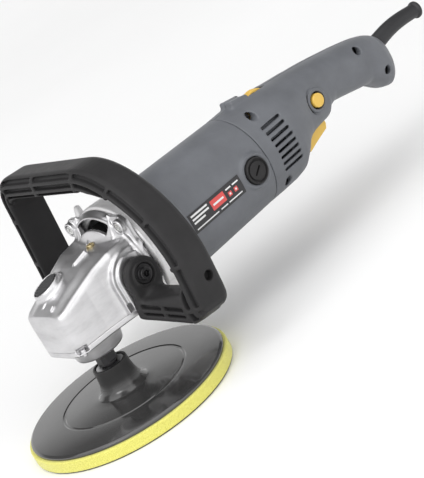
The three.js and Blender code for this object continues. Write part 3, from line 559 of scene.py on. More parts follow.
def polygon_distance(points, u, v):
    """Signed distance from grid points (u, v) to a closed polygon."""
    closed = [*points, points[0]]
    away = along_path(closed, u, v)[0]
    inside = np.zeros(away.shape, bool)
    for (ax, ay), (bx, by) in zip(closed, closed[1:]):
        if abs(by - ay) > 1e-9:
            crosses = (ay <= v) != (by <= v)
            inside ^= crosses & (u < ax + (v - ay) * (bx - ax) / (by - ay))
    return np.where(inside, -away, away)


def extruded(outline, axis, low, high, edge):
    """A closed outline pushed along an axis, with rounded rims. The outline is in the other two axes."""
    k = "xyz".index(axis)

    def distance(*p):
        wall = polygon_distance(outline, *(v for n, v in enumerate(p) if n != k))
        return round_max(wall, np.abs(p[k] - (low + high) / 2) - (high - low) / 2, edge)
    return distance, *spans_box(k, low, high, [(min(c), max(c)) for c in zip(*outline)])


def from_field(name, body, slot, field, replaces=(), transform=None):
    points, faces = field.surface()
    if transform is not None:
        points = transform(points)
    return new_piece(name, body, slot, points, faces, replaces)


# ---- camera and light
def make_camera():
    """The main view: from the front left, a little above, rolled to the right."""
    right = Vector((0.6627, -0.5758, -0.4788))
    up = Vector((0.5693, -0.0280, 0.8217))
    back = Vector((-0.4865, -0.8171, 0.3092))
    data = bpy.data.cameras.new("camera")
    data.sensor_width = 36.0
    data.lens = 131.1
    data.clip_end = 50.0
    camera = add_object("camera", data)
    turn = Matrix((right, up, back)).transposed().to_4x4()
    camera.matrix_world = Matrix.Translation(Vector((-0.5594, -1.1724, 0.5061))) @ turn
    bpy.context.scene.camera = camera


def make_light(name, place, target, size, power, colour=(1, 1, 1)):
    data = bpy.data.lights.new(name, "AREA")
    data.shape = "RECTANGLE"
    data.size, data.size_y = size
    data.energy = power
    data.color = colour
    aim = (Vector(target) - Vector(place)).to_track_quat("-Z", "Y")
    add_object(name, data).matrix_world = Matrix.Translation(Vector(place)) @ aim.to_matrix().to_4x4()


SKY = ((0.0, 1.0), (0.33, 1.0), (0.46, 0.16), (0.72, 0.12), (1.0, 0.5))     # height, grey
FLOOR_HALF = 20.0       # metres


def make_sky():
    world = bpy.data.worlds.new("studio")
    world.use_nodes = True
    nodes, links = world.node_tree.nodes, world.node_tree.links
    where, split = nodes.new("ShaderNodeTexCoord"), nodes.new("ShaderNodeSeparateXYZ")
    ramp, background = nodes.new("ShaderNodeValToRGB"), nodes["Background"]
    links.new(where.outputs["Generated"], split.inputs["Vector"])
    links.new(split.outputs["Z"], ramp.inputs["Fac"])
    links.new(ramp.outputs["Color"], background.inputs["Color"])
    fill_ramp(ramp.color_ramp, [(place, (grey, grey, grey)) for place, grey in SKY])
    background.inputs["Strength"].default_value = 1.0
    bpy.context.scene.world = world


def make_floor():
    mesh = bpy.data.meshes.new("floor")
    corners = [(x * FLOOR_HALF, y * FLOOR_HALF, 0) for x, y in ((-1, -1), (1, -1), (1, 1), (-1, 1))]
    mesh.from_pydata(corners, [], [(0, 1, 2, 3)])
    m = Nodes("floor")
    m.set(Base_Color=m.ramp(m.noise(1.2, 3.0), [(0.3, (0.86, 0.86, 0.86)), (0.7, (0.9, 0.9, 0.9))]),
          Roughness=0.85, Specular_IOR_Level=0.1)
    mesh.materials.append(m.material)
    add_object("floor", mesh)


def make_stage():
    make_sky()
    make_floor()
    sun = bpy.data.lights.new("sky_panel", "SUN")
    sun.angle = math.radians(110)
    sun.energy = 2.4
    add_object("sky_panel", sun).rotation_euler = (math.radians(18), math.radians(-22), 0)
    target = (0.13, 0.0, 0.09)
    make_light("key", (-1.1, -0.4, 1.4), target, (0.7, 0.7), 7)
    make_light("side", (0.35, -1.5, 0.5), target, (0.7, 1.0), 2)
    bpy.context.scene.view_settings.view_transform = "Standard"


# ---- polishing pad
def make_pad():
    body = "spindle_group"
    turned("pad_hook_layer", body, "pad_hook", [(0, 0), (88.6, 0), (89, 0.4), (88.8, 0.9), (0, 0.9)],
           ["hook_face"])
    foam = rounded([(0, 0.95), (90, 0.95, 1.6), (89.8, 6.0), (90, 10.95, 1.6), (0, 10.95)], steps=6)
    turned("foam_pad_soft", body, "pad_foam", foam, ["foam_pad"], sharp=60.0)
    profile = rounded([
        (0, 11.1), (87.3, 11.1, 0.5), (87.3, 13.2, 0.8), (85.4, 14.3, 3.0), (70, 15.3), (56.2, 16.05, 0.5),
        (55.3, 15.55, 0.6), (54.0, 15.55, 0.6), (53.1, 16.15, 0.5), (30, 17.0), (22.4, 17.3, 2.6),
        (18.2, 21.0, 6.0), (15.9, 27.5, 9.0), (15.2, 34), (15.2, 40.4, 0.9), (12.9, 40.4, 0.5),
        (12.6, 36.5), (0, 36.5)])
    turned("backing_disc_shell", body, "gloss_plastic", profile, ["backing_disc"], sharp=50.0)
    insert = rounded([(7.3, 36.9), (12.2, 36.9), (12.3, 39.7, 0.6), (7.6, 39.9, 0.5)], closed=True, steps=3)
    turned("hub_thread_ring", body, "bearing_steel", insert, ["hub_thread_insert"], ring=True, facets=64)


def make_spindle():
    field = Field((-9, -9, 36.5), (9, 9, 60), 0.3)
    field.add(post(8.5, 40.9, 55, 0.5))
    field.add(post(6.8, 36.6, 42, 0.2))
    for side in (-1, 1):    # four flats for a spanner
        near, far = outwards(side, 7.3, 14)
        field.cut(block((-12, near, 42.6), (12, far, 50.6), 0.4), 0.3)
        field.cut(block((near, -12, 42.6), (far, 12, 50.6), 0.4), 0.3)
    field.add(post(7.4, 50, 59.8, 0.2))
    from_field("spindle_collar", "spindle_group", "dark_steel", field, ["spindle"])


# ---- gear head
HEAD = {  # along X: half-width, ridge height at the side, crest height in the middle
    "x": (-32.4, -31.2, -28.6, -15.0, 0.0, 14.0, 30.0, 54.0),
    "half": (23.0, 26.2, 27.9, 29.0, 30.4, 33.0, 37.0, 39.5),
    "ridge": (91.0, 99.0, 104.0, 109.2, 114.2, 119.4, 123.6, 125.6),
    "crest": (92.0, 100.0, 105.2, 111.2, 116.4, 121.0, 124.6, 126.0),
}


def head_shape(low, top=200.0, rim=0.15):
    """The head: flat bottom, upright sides, a ridge and a roof that slopes to the nose."""
    skin, crest_half, shoulder, chamfer, diagonal = 0.6, 12.0, 4.0, 7.0, 0.7071
    roof_lean = 0.92        # brings the height above the sloping roof down to a distance

    def distance(x, y, z):
        half, ridge, crest = (np.interp(x, HEAD["x"], HEAD[key]).astype(np.float32)
                              for key in ("half", "ridge", "crest"))
        side = np.abs(y) - half - skin
        across = np.clip((np.abs(y) - crest_half) / (half - crest_half - shoulder), 0, 1)
        across = across * across * (3 - 2 * across)
        roof = (z - (crest + (ridge - crest) * across)) * roof_lean
        front = HEAD["x"][0] - x
        corner = (np.abs(y) - half + front + chamfer) * diagonal
        d = side
        for face, blend in ((roof, 5.0), (front, 3.5), (corner, 4.0), (low - z, rim)):
            d = smooth_max(d, face, blend)
        return np.maximum(d, z - top)
    return distance, (-34, -44, low), (55, 44, min(top, 128))


def wedge_outlet():
    """The arc-shaped air outlet: a band round the motor axis, cut through the shoulder."""
    middle, thick, half_angle = 39.6, 4.1, math.radians(32)

    def distance(x, y, z):
        radius = np.sqrt(y * y + (z - MOTOR_Z) ** 2)
        angle = np.abs(np.arctan2(y, z - MOTOR_Z))
        ends = (angle - half_angle) * middle
        return round_max(np.abs(radius - middle) - thick, ends, 1.0)
    return distance, (41, -26, 128), (54.5, 26, 146)


def case_screw_places():
    return [(sy * 36.2, MOTOR_Z + sz * 35.0) for sy in (-1, 1) for sz in (-1, 1)]


def flange_shape():
    """The rounded-square flange that carries the four case screws."""
    low, high = (52.6, -43.0, MOTOR_Z - 43.0), (57.6, 43.0, MOTOR_Z + 43.0)
    plate = block(low, high, 0.9)[0]
    corner = on_motor(56.6, low[0], high[0], 0.9)[0]
    return (lambda *p: smooth_max(plate(*p), corner(*p), 1.5)), low, high


def arch(radius, near, far, edge, low=73.3):
    """A side pad with a round top and straight sides down to the underside."""
    outline = [(BOSS_X - radius, low), (BOSS_X + radius, low), (BOSS_X + radius, BOSS_Z)]
    for turn in np.linspace(0, math.pi, 25)[1:-1].tolist():
        outline.append((BOSS_X + radius * math.cos(turn), BOSS_Z + radius * math.sin(turn)))
    outline.append((BOSS_X - radius, BOSS_Z))
    return extruded(outline, "y", *sorted((near, far)), edge)


def make_gear_case():
    field = Field((-33, -44, 55), (57.8, 44, 157), 0.7)
    field.add(head_shape(72.7))
    field.add(on_motor(25.0, 40.5, 50.5, 1.0, 45.0), 3.0)
    field.add(on_motor(44.6, 49.6, 57.4, 1.2, 48.6), 1.5)
    field.cut(block((30, -60, 40), (52.5, 60, 73.2)), 0.4)
    field.add(flange_shape(), 1.2)
    for side in (-1, 1):
        field.add(arch(21.8, side * 20, side * 40.4, 1.0), 2.2)
        field.add(arch(17.9, side * 30, side * 42.6, 0.9), 1.0)
    centre = (LOCK_X, LOCK_Y)
    field.add(tilted(bar("z", centre, 14.6, 106, LOCK_TOP - 0.9, 0.8, 13.4), *LOCK_LEAN), 3.0)
    field.add(tilted(bar("z", centre, 12.9, 114, LOCK_TOP + 0.2, 0.5), *LOCK_LEAN), 0.6)
    field.cut(bar("z", centre, 11.4, 106.3, 130, 0.2), 0.3)
    field.cut(wedge_outlet(), 0.5)
    field.cut(on_motor(43.6, 52.6, 60, 0.2))
    field.cut(on_motor(34, 47, 60, 1.0, 42))
    for y, z in case_screw_places():
        field.add(bar("x", (y, z), 6.2, 48.6, 57.4, 1.2), 1.6)
        field.cut(bar("x", (y, z), 4.6, 40.0, 51.2, 0.4), 0.5)
    field.add(capsule((18.5, -3.2, 121.4), (29.5, -5.6, 125.0), 2.6, 2.2), 0.8)
    field.add(capsule((30.5, -5.6, 125.4), (46.5, 9.0, 127.0), 1.2, 1.0), 0.8)
    for side in (-1, 1):
        field.add(capsule((53.5, side * 24, 142.5), (47.0, side * 25.5, 126.0), 1.3, 1.1), 0.8)
        field.add(capsule((47.0, side * 25.5, 126.0), (52.5, side * 32, 130.5), 1.1, 1.1), 0.8)
    for x, y in ((-20.0, 4.0), (-22.6, -11.6)):
        field.add(capsule((x - 1.6, y, 108.2), (x + 1.6, y, 109.8), 1.1), 0.5)
    field.cut(block((-26.6, -18, 106.9), (-25.6, 20, 112)), 0.4)
    field.cut(NOSE_NOTCH, 0.2)
    field.cut(block((19.2, -46, 66), (22.6, -31, 81.5), 0.4), 0.3)
    field.cut(bar("z", OIL_SCREW, 4.0, 124.6, 130, 0.2), 0.3)
    field.trim("x", 1, 57.6, 0.4)
    from_field("gear_case_casting", "tool", "cast_aluminium", field, ["gear_case"])


PLATE_SCREWS = ((-19.5, -19.5), (22.5, -23.0))
OIL_SCREW = (38.1, -2.5)
CASE_SCREW_X, PLATE_SCREW_Z, OIL_SCREW_Z = 50.2, 67.6, 126.2      # seats of the screws' heads
NOSE_NOTCH = block((-29.6, -34, 69.4), (-21.6, -21.4, 74.8), 0.3)


def make_bearing_plate():
    field = Field((-33, -44, 53), (53, 44, 73.6), 0.6)
    field.add(head_shape(67.8, 73.1, 1.8))
    field.add(post(20.4, 53.5, 70, 2.0, 24.5), 1.5)
    field.cut(post(10, 50, 57.5, 0.4), 0.5)
    for x, y in PLATE_SCREWS:
        field.cut(bar("z", (x, y), 4.3, 60, 69.8, 0.4), 0.4)
    field.trim("x", 1, 40, 0.6)
    field.trim("z", 1, 73.1, 0.1)
    field.cut(NOSE_NOTCH, 0.2)
    field.add(bar("z", (-25.4, -24.6), 2.0, 66, 72.4, 0.6), 0.2)
    from_field("bearing_plate_casting", "tool", "cast_aluminium", field, ["bearing_plate"])


def cross_screw(name, replaces, place, axis, radius, height, slot="screw_steel"):
    """A pan-head screw with a real cross recess. axis is the way its head faces."""
    field = Field((-radius, -radius, -height), (radius, radius, height), 0.16)
    field.add(post(radius, -height, height * 0.55, min(0.9, height * 0.4)))
    arm, wide = radius * 0.62, radius * 0.17
    for a, b in ((arm, wide), (wide, arm)):
        field.cut(block((-a, -b, -0.2 * height), (a, b, 9), 0.1), 0.12)
    quat = Vector(axis).to_track_quat("Z", "Y") @ Matrix.Rotation(0.5, 3, "Z").to_quaternion()
    turn = np.array(quat.to_matrix())
    move = np.array(place, float)
    return from_field(name, "tool", slot, field, replaces, lambda p: p @ turn.T + move)


def make_head_screws():
    ahead, down, up = (-1, 0, 0), (0, 0, -1), (0, 0, 1)
    for k, (y, z) in enumerate(case_screw_places(), 1):
        cross_screw(f"case_screw_head_{k}", [f"case_screw_{k}"], (CASE_SCREW_X, y, z), ahead, 4.0, 1.8)
    for k, (x, y) in enumerate(PLATE_SCREWS, 1):
        place = (x, y, PLATE_SCREW_Z)
        cross_screw(f"plate_screw_head_{k}", [f"bearing_plate_screw_{k}"], place, down, 3.7, 1.8)
    cross_screw("oil_screw_head", ["oil_screw"], (*OIL_SCREW, OIL_SCREW_Z), up, 3.4, 1.6, "brass")


def make_lock_button():
    field = Field((LOCK_X - 12, LOCK_Y - 12, 111), (LOCK_X + 12, LOCK_Y + 12, 127), 0.35)
    field.add(bar("z", (LOCK_X, LOCK_Y), 10.7, 111.5, 127, 0.5))
    above = block((LOCK_X - 30, LOCK_Y - 20, LOCK_TOP + 0.5), (LOCK_X + 30, LOCK_Y + 20, 150))
    field.cut(tilted(above, *LOCK_LEAN, 9), 1.6)
    top = LOCK_TOP + 0.6
    for k in range(7):
        x = LOCK_X - 8.1 + 2.7 * k
        reach = math.sqrt(9.6 ** 2 - (x - LOCK_X) ** 2) - 1.0
        groove = capsule((x, LOCK_Y - reach, top), (x, LOCK_Y + reach, top), 0.65)
        field.cut(tilted(groove, *LOCK_LEAN), 0.2)
    from_field("lock_button_cap", "spindle_lock", "black_rubber", field, ["spindle_lock_button"])


# ---- motor
def make_bell():
    field = Field((57.8, -50, MOTOR_Z - 50), (97.2, 50, MOTOR_Z + 50), 0.8)
    field.add(on_motor(50.0, BELL_FRONT, BELL_REAR, 2.6, 47.6))
    field.add(capsule((61, 30, 137), (64.5, 34.5, 144.6), 4.6, 3.0), 2.0)
    field.cut(on_motor(46.4, BELL_FRONT + 3.5, BELL_REAR + 2, 0.0, 44.4), 0.3)
    field.cut(on_motor(40.0, BELL_FRONT - 2, BELL_FRONT + 6, 0.0), 0.3)
    # the bell takes the brighter aluminium, painted light against the D handle's dark reflection and shadow
    from_field("intermediate_housing_casting", "tool", "bell_aluminium", field, ["intermediate_housing"])


def make_motor_housing():
    field = Field((97, -48, MOTOR_Z - 48), (198, 48, MOTOR_Z + 48), 0.8)
    field.add(on_motor(motor_radius(MOTOR_FRONT), MOTOR_FRONT, MOTOR_REAR, 0.7, MOTOR_REAR_RADIUS))
    field.add(on_motor(47.3, MOTOR_FRONT, 101.4, 0.7), 1.5)
    for side in (-1, 1):
        field.add(bar("y", (BRUSH_X, MOTOR_Z), 15.0, *outwards(side, 30, 43.6), 1.2), 2.4)
        field.cut(bar("y", (BRUSH_X, MOTOR_Z), 11.7, *outwards(side, 40.6, 50), 0.3), 0.5)
    field.cut(on_motor(41.2, 90, 193, 2.0, 39.0))
    from_field("motor_housing_shell", "tool", "grey_plastic", field, ["motor_housing"])


def make_brush_caps():
    slot_turn, seat = -0.62, 40.9       # seat: from the middle plane to the cap's foot
    c, s = math.cos(slot_turn), math.sin(slot_turn)
    for name, side in (("left", -1), ("right", 1)):
        field = Field((-12, -12, 0), (12, 12, 6), 0.3)
        field.add(post(11.2, 0.1, 5.0, 0.8))
        field.cut(post(9.8, 3.0, 9, 0.4), 0.4)
        field.add(post(8.0, 1.5, 4.9, 0.7), 0.3)
        field.cut(block((-4.6, -0.9, 2.6), (4.6, 0.9, 9), 0.3), 0.2)

        def place(p, side=side):
            u, v = p[:, 0] * c - p[:, 1] * s, p[:, 0] * s + p[:, 1] * c
            return np.stack([BRUSH_X + u, side * (seat + p[:, 2]), MOTOR_Z + side * v], 1)
        face_out(from_field(f"brush_cap_moulding_{name}", "tool", "black_plastic", field,
                            [f"brush_cap_{name}"], place))


def patch(name, material, x_span, z_span, lift, thick=0.12, replaces=()):
    """A thin plate bent round the left side of the motor; z_span is measured round the curve."""
    columns, rows, curve = 24, 10, 43.8
    points = []
    for x in np.linspace(*x_span, columns + 1):
        for top, ends in ((0, z_span), (1, z_span[::-1])):
            r = motor_radius(x) + lift + thick * top
            for z in np.linspace(*ends, rows + 1):
                points.append((x, -r * math.cos(z / curve), MOTOR_Z + r * math.sin(z / curve)))
    faces = ring_faces(columns + 1, 2 * (rows + 1))
    piece = new_piece(name, "tool", "label", points, faces, replaces, material)
    face_out(piece)
    crease(piece)


LABEL_PRINT = (  # name, colour, layer, from x, to x, from z, to z
    ("bar_1", "ink", 0, 105, 124, 4.85, 6.35), ("bar_2", "ink", 0, 105, 124, 1.85, 3.35),
    ("bar_3", "ink", 0, 105, 118, -1.15, 0.35), ("line_1", "ink", 0, 105, 131, -6.2, -5.2),
    ("line_2", "ink", 0, 134, 142, -6.2, -5.2), ("line_3", "ink", 0, 144, 160, -6.2, -5.2),
    ("block", "red", 0, 127, 143, -2.6, 5.6), ("block_bar", "ink", 1, 129, 141, 0.6, 2.2),
    ("dot_1", "red", 0, 146.6, 150.4, -2.2, 1.6), ("dot_ring_1", "ink", 1, 147.7, 149.3, -1.1, 0.5),
    ("dot_2", "red", 0, 153.6, 157.4, -2.2, 1.6), ("dot_ring_2", "ink", 1, 154.7, 156.3, -1.1, 0.5),
    ("note_1", "ink", 0, 146, 152, 3.8, 5.0), ("note_2", "ink", 0, 154, 161, 3.8, 5.0))


def make_label():
    """A dark rating plate on the left side with generic bars, blocks and dots, and no lettering."""
    patch("rating_plate", "label", (102.5, 163.5), (-8.4, 8.2), 0.08, 0.3, ["rating_label"])
    ink_lift, layer_lift = 0.42, 0.12       # off the housing, and off the layer below
    for name, colour, layer, x0, x1, z0, z1 in LABEL_PRINT:
        patch(f"label_{name}", f"label_{colour}", (x0, x1), (z0, z1), ink_lift + layer_lift * layer)


# ---- rear handle
HANDLE_STATIONS = np.array([  # x, underside z, top z, half-width
    (197.6, 56.3, 141.3, 42.5), (214, 56.2, 141.6, 42.3), (231, 56.8, 141, 41.2),
    (241, 58.6, 140.2, 39.8), (249, 65.2, 139.4, 37.6), (256, 73, 138.6, 35.2),
    (264, 77.4, 137.4, 32.4), (273, 79.4, 136.4, 30), (282, 80.4, 135.4, 28.4),
    (290, 80.8, 134.2, 27.2), (293.5, 81.4, 133.8, 26.8), (296.5, 86, 133.4, 26.4),
    (306, 89, 132, 25.6), (318, 86.8, 130, 25.4), (330, 84.2, 127.8, 25),
    (342, 81.6, 125.6, 25), (352, 79.8, 123.4, 24.6), (360, 73.2, 121.6, 24.6),
    (366, 68, 120, 24.2), (374, 65.4, 117.2, 22), (379.5, 68, 114, 18.4),
    (384, 73, 109.8, 14.4), (387.4, 80, 104.4, 9.6), (389.4, 87, 98, 5)])
HANDLE_SCREWS = ((214.5, 131.5, 24.4), (213.5, 69.0, 28.8), (347.0, 115.0, 19.6), (367.0, 84.0, 21.6))


def smooth_stations(width=0.9):
    """The handle's outline on a fine row of x, smoothed along its length."""
    x = np.arange(150, 390.5, 0.5)
    reach = np.arange(-8, 8.1, 0.5)
    weight = np.exp(-0.5 * (reach / width) ** 2)
    weight /= weight.sum()
    columns = []
    for k in (1, 2, 3):
        value = np.interp(x, HANDLE_STATIONS[:, 0], HANDLE_STATIONS[:, k])
        onwards = value[-1] + (value[-1] - value[-2]) * np.arange(1, 17)
        padded = np.concatenate([np.full(16, value[0]), value, onwards])
        columns.append(np.convolve(padded, weight, "valid"))
    return x, columns


def handle_distance():
    row, (low, top, half) = smooth_stations()

    def distance(x, y, z):
        lo, hi, wide = (np.interp(x, row, c).astype(np.float32) for c in (low, top, half))
        t = np.clip((x - 205) / 85, 0, 1)
        power = 2 + 0.35 * t * t * (3 - 2 * t)
        tall, middle = (hi - lo) / 2, (hi + lo) / 2
        ring = ((np.abs(y) / wide) ** power + (np.abs(z - middle) / tall) ** power) ** (1 / power)
        body = (ring - 1) * np.minimum(wide, tall)
        return np.maximum(body, x - 394.9)
    return distance, (197.6, -43, 50), (396, 43, 150)


HANDLE_FRONT, HANDLE_END, HANDLE_SOLID = 197.6, 385.8, 374.0     # along x; solid past the last
HANDLE_WALL = 2.8
VENT_TOP, VENT_PITCH, VENTS = 120.4, 5.7, 8
BOOT_Z = 101.8


def handle_shell(base):
    """The hollow handle with its openings, before it is parted down the middle."""
    shell = base.copy()
    hollow = np.maximum(base.d + HANDLE_WALL, base.grid()[0] - HANDLE_SOLID)
    shell.d = np.maximum(base.d, -hollow)
    for low, high in ((-27.6, -26.0), (26.0, 27.6)):    # inner walls behind the cooling slots
        wall = base.copy(empty=True)
        wall.add(block((201, low, 62), (268, high, 136)))
        shell.d = np.minimum(shell.d, np.maximum(wall.d, base.d + 1.0))
    shell.trim("x", -1, HANDLE_FRONT, 0.8)
    shell.trim("x", 1, HANDLE_END, 2.5)
    shell.cut(block((259.8, -8.7, 50), (292.8, 8.7, 90), 1.2), 0.6)
    shell.cut(block((230, -4.8, 122), (256, 4.8, 152), 1.0), 0.5)
    boot_hole = bar("x", (0, BOOT_Z), 8.7, 372, 410, 0.4)
    shell.cut(tilted(boot_hole, (388, 0, BOOT_Z), 0.12), 0.6)
    shell.cut(bar("x", (0, BOOT_Z), 13.0, 384.2, 410, 0.4), 1.2)
    return shell


def add_screw_side(half, base):
    """The left half's screw posts and recesses, and the bezel of the lock-on button."""
    posts = base.copy(empty=True)
    for x, z, depth in HANDLE_SCREWS:
        posts.add(bar("y", (x, z), 6.0, -46, -depth + 5, 0.3))
    half.d = np.minimum(half.d, np.maximum(posts.d, base.d))
    for x, z, depth in HANDLE_SCREWS:
        half.cut(bar("y", (x, z), 3.9, -50, -depth + 6.7, 0.3), 0.7)
    lock_on = (LOCK_ON_X, LOCK_ON_Z)
    half.cut(bar("y", lock_on, 12.4, -50, -27.4, 0.4), 0.8)
    half.add(bar("y", lock_on, 10.6, -29.8, -20, 0.7), 0.3)
    half.cut(bar("y", lock_on, 7.6, -50, -10, 0.2), 0.5)


def make_handle():
    base = Field((197.4, -44, 52), (396, 44, 149), 0.8)
    base.add(handle_distance())
    hump = block((214.6, -8.5, 134), (234, 8.5, 146.2), 1.6)
    base.add(tilted(hump, (218, 0, 146), -0.17), 2.5)
    shell = handle_shell(base)
    for name, side in (("left", -1), ("right", 1)):
        half = shell.copy()
        half.trim("y", -side, side * 0.12, 0.5)
        near, far = outwards(side, 25, 50)
        for k in range(VENTS):
            z = VENT_TOP - VENT_PITCH * k
            half.cut(block((210.2, near, z - 1.25), (233.6, far, z + 1.25), 1.0), 0.35)
        if name == "left":
            add_screw_side(half, base)
        from_field(f"handle_moulding_{name}", "tool", "grey_plastic", half, [f"handle_shell_{name}"])
    for k, (x, z, depth) in enumerate(HANDLE_SCREWS):
        cross_screw(f"handle_screw_head_{k + 1}", [f"handle_screw_{k + 1}"], (x, -depth + 6.0, z),
                    (0, -1, 0), 3.3, 1.2, "dark_steel")


def make_trigger_spring():
    """A coil spring that stands on the trigger."""
    x, low, high, radius, wire, turns, sides = 288.0, 84.4, 93.6, 3.2, 0.5, 3, 8
    stops = np.linspace(0, 1, 24 * turns + 1)[:, None]
    around = np.linspace(0, 2 * math.pi, sides, endpoint=False)[None, :]
    reach = radius + wire * np.cos(around)
    height = low + wire + (high - low - 2 * wire) * stops + wire * np.sin(around)
    turn = 2 * math.pi * turns * stops
    points = np.stack([x + reach * np.cos(turn), reach * np.sin(turn), height], -1).reshape(-1, 3)
    faces = ring_faces(len(stops), sides)
    spring = new_piece("trigger_coil", "tool", "bearing_steel", points, faces, ["trigger_spring"])
    face_out(spring)
    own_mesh(spring)


def make_controls():
    profile = rounded([(270.8, 84.4), (268.6, 79.0, 3.0), (261.9, 67.8, 1.0), (263.2, 66.4, 1.0),
                       (275.4, 70.2, 6.0), (289.4, 74.0, 2.0), (291.6, 78.2, 1.5), (291.2, 83.9)],
                      closed=True, steps=5)
    field = Field((261, -9, 65.5), (292, 9, 85), 0.35)
    field.add(extruded(profile, "y", -8.0, 8.0, 1.2))
    from_field("trigger_lever_moulding", "trigger_lever", "yellow_plastic", field, ["trigger"])
    button = rounded([(0, 17.2), (6.2, 17.2, 0.3), (6.2, 31.0, 1.1), (0, 31.0)], steps=6)
    face_out(turned("lock_on_button_cap", "lock_on", "yellow_plastic", button, ["lock_on_button"],
                    axis="-Y", origin=(LOCK_ON_X, 0, LOCK_ON_Z), facets=64))
    field = Field((DIAL_X - 14, -4, DIAL_Z - 14), (DIAL_X + 14, 4, DIAL_Z + 14), 0.35)
    field.add(bar("y", (DIAL_X, DIAL_Z), DIAL_RADIUS, -4, 4, 0.8))
    for k in range(40):
        turn = 2 * math.pi * k / 40
        x, z = DIAL_X + 14.3 * math.cos(turn), DIAL_Z + 14.3 * math.sin(turn)
        field.cut(bar("y", (x, z), 0.75, -6, 6, 0), 0.2)
    from_field("speed_dial_wheel", "dial", "yellow_plastic", field, ["speed_dial"])


BOOT_ROUTE = ((376, 100.6), (388, 102.2), (402, 104.4), (416, 104.9), (430, 104.2), (446, 102.4))


def boot_route(t):
    """A point on the boot's centre line and its direction, in the plane y = 0."""
    knots = np.linspace(0, 1, len(BOOT_ROUTE))
    route = np.array(BOOT_ROUTE)
    x_fit = np.polyfit(knots, route[:, 0], 3)
    z_fit = np.polyfit(knots, route[:, 1], 4)
    along = np.array([np.polyval(np.polyder(x_fit), t), np.polyval(np.polyder(z_fit), t)])
    return np.array([np.polyval(x_fit, t), np.polyval(z_fit, t)]), along / np.linalg.norm(along)


def make_boot():
    """The cord's strain relief: a tapering sleeve with a rolled open lip."""
    stops = [(t, 7.9 - 1.5 * t) for t in np.linspace(0.0, 0.93, 70)]
    stops += [(0.945, 6.5), (0.952, 7.2), (0.96, 7.8), (0.975, 8.0), (0.99, 7.8), (0.998, 7.2), (1.0, 6.4),
              (0.998, 5.4), (0.99, 4.8), (0.95, 4.4), (0.6, 4.2), (0.2, 4.2), (0.0, 4.2)]
    facets = 48
    points = []
    for t, radius in stops:
        (x, z), (ax, az) = boot_route(t)
        for k in range(facets):
            turn = 2 * math.pi * k / facets
            up = radius * math.cos(turn)
            points.append((x - az * up, radius * math.sin(turn), z + ax * up))
    faces = ring_faces(len(stops), facets, closed=True)
    piece = new_piece("cord_boot_sleeve", "tool", "black_rubber", points, faces, ["cord_boot"])
    face_out(piece)
    crease(piece, 60.0)


# ---- D handle
LOOP_X, LOOP_DEPTH, LOOP_LEAN, LOOP_Z = 36.0, 34.0, 0.085, 100.0
LOOP_EDGE = 9.0         # radius of the loop's front outer edge
CHEEK_Y = 43.5          # inner face of the cheeks


def bezier(a, b, c, d, steps):
    t = np.linspace(0, 1, steps + 1)[:, None]
    a, b, c, d = (np.array(p, float) for p in (a, b, c, d))
    curve = (1 - t) ** 3 * a + 3 * (1 - t) ** 2 * t * b + 3 * (1 - t) * t * t * c + t ** 3 * d
    return [tuple(p) for p in curve]


def loop_outer():
    """The loop's outer edge from the left foot round to the right foot, as (y, z)."""
    left = rounded([(-46, 64.2), (-107, 53.6, 14), (-107, 94)])
    arc = bezier((-107, 94), (-107, 143), (-57, 189), (-12, 189), 30)
    right = rounded([(-12, 189), (107, 189, 24), (107, 53.6, 14), (46, 64.2)], steps=12)
    return left + arc[1:] + right[1:]


def loop_inner():
    right = rounded([(50, 80), (93, 80, 13), (93, 171, 16), (-12, 171)], steps=10)
    arc = bezier((-12, 171), (-57, 171), (-95, 147), (-95, 94), 30)
    left = rounded([(-95, 94), (-95, 79, 8), (-50, 79)], steps=8)
    return right + arc[1:] + left[1:]


def to_loop_frame(x, z):
    """World (x, z) to the loop's own frame, which leans back about (LOOP_X, LOOP_Z)."""
    c, s = math.cos(LOOP_LEAN), math.sin(LOOP_LEAN)
    dx, dz = x - LOOP_X, z - LOOP_Z
    return LOOP_X + dx * c - dz * s, LOOP_Z + dx * s + dz * c


# The ribs between the loop's front slots, as (y, z) on its outer edge.
LOOP_RIBS = ((-107, 66), (-107, 102.5), (-98, 147), (-63, 177), (-20, 189), (42, 189), (96, 187),
             (107, 150), (107, 110), (107, 72))
LOOP_ROWS = ((3.9, 1.8), (10.3, 1.9), (16.0, 1.0))      # depth below the outer edge, half-width
FOOT_ROWS = ((12.4, 1.8), (6.3, 1.2))                   # height above the foot's lower edge, half-width
FOOT_SLOTS = ((60.0, 9.6), (81.5, 9.0))                 # middle and half-length across
SLOT_DEPTH = 4.4
RIB_HALF, FOOT_LIP = 1.7, 3.0
THICK_ENOUGH, LAST_ROW_Z = 16.4, 120.0      # where the last row of slots is cut


def foot_front(y):
    """The feet run forward to meet the cheeks: the local x of their front face."""
    return 25.0 + (np.clip(np.abs(y), 46, 94) - 50) * 0.21


def foot_low(y):
    """The feet's lower edge, which climbs towards the cheeks."""
    return 54.6 + (97 - np.clip(np.abs(y), 44, 97)) * 0.19


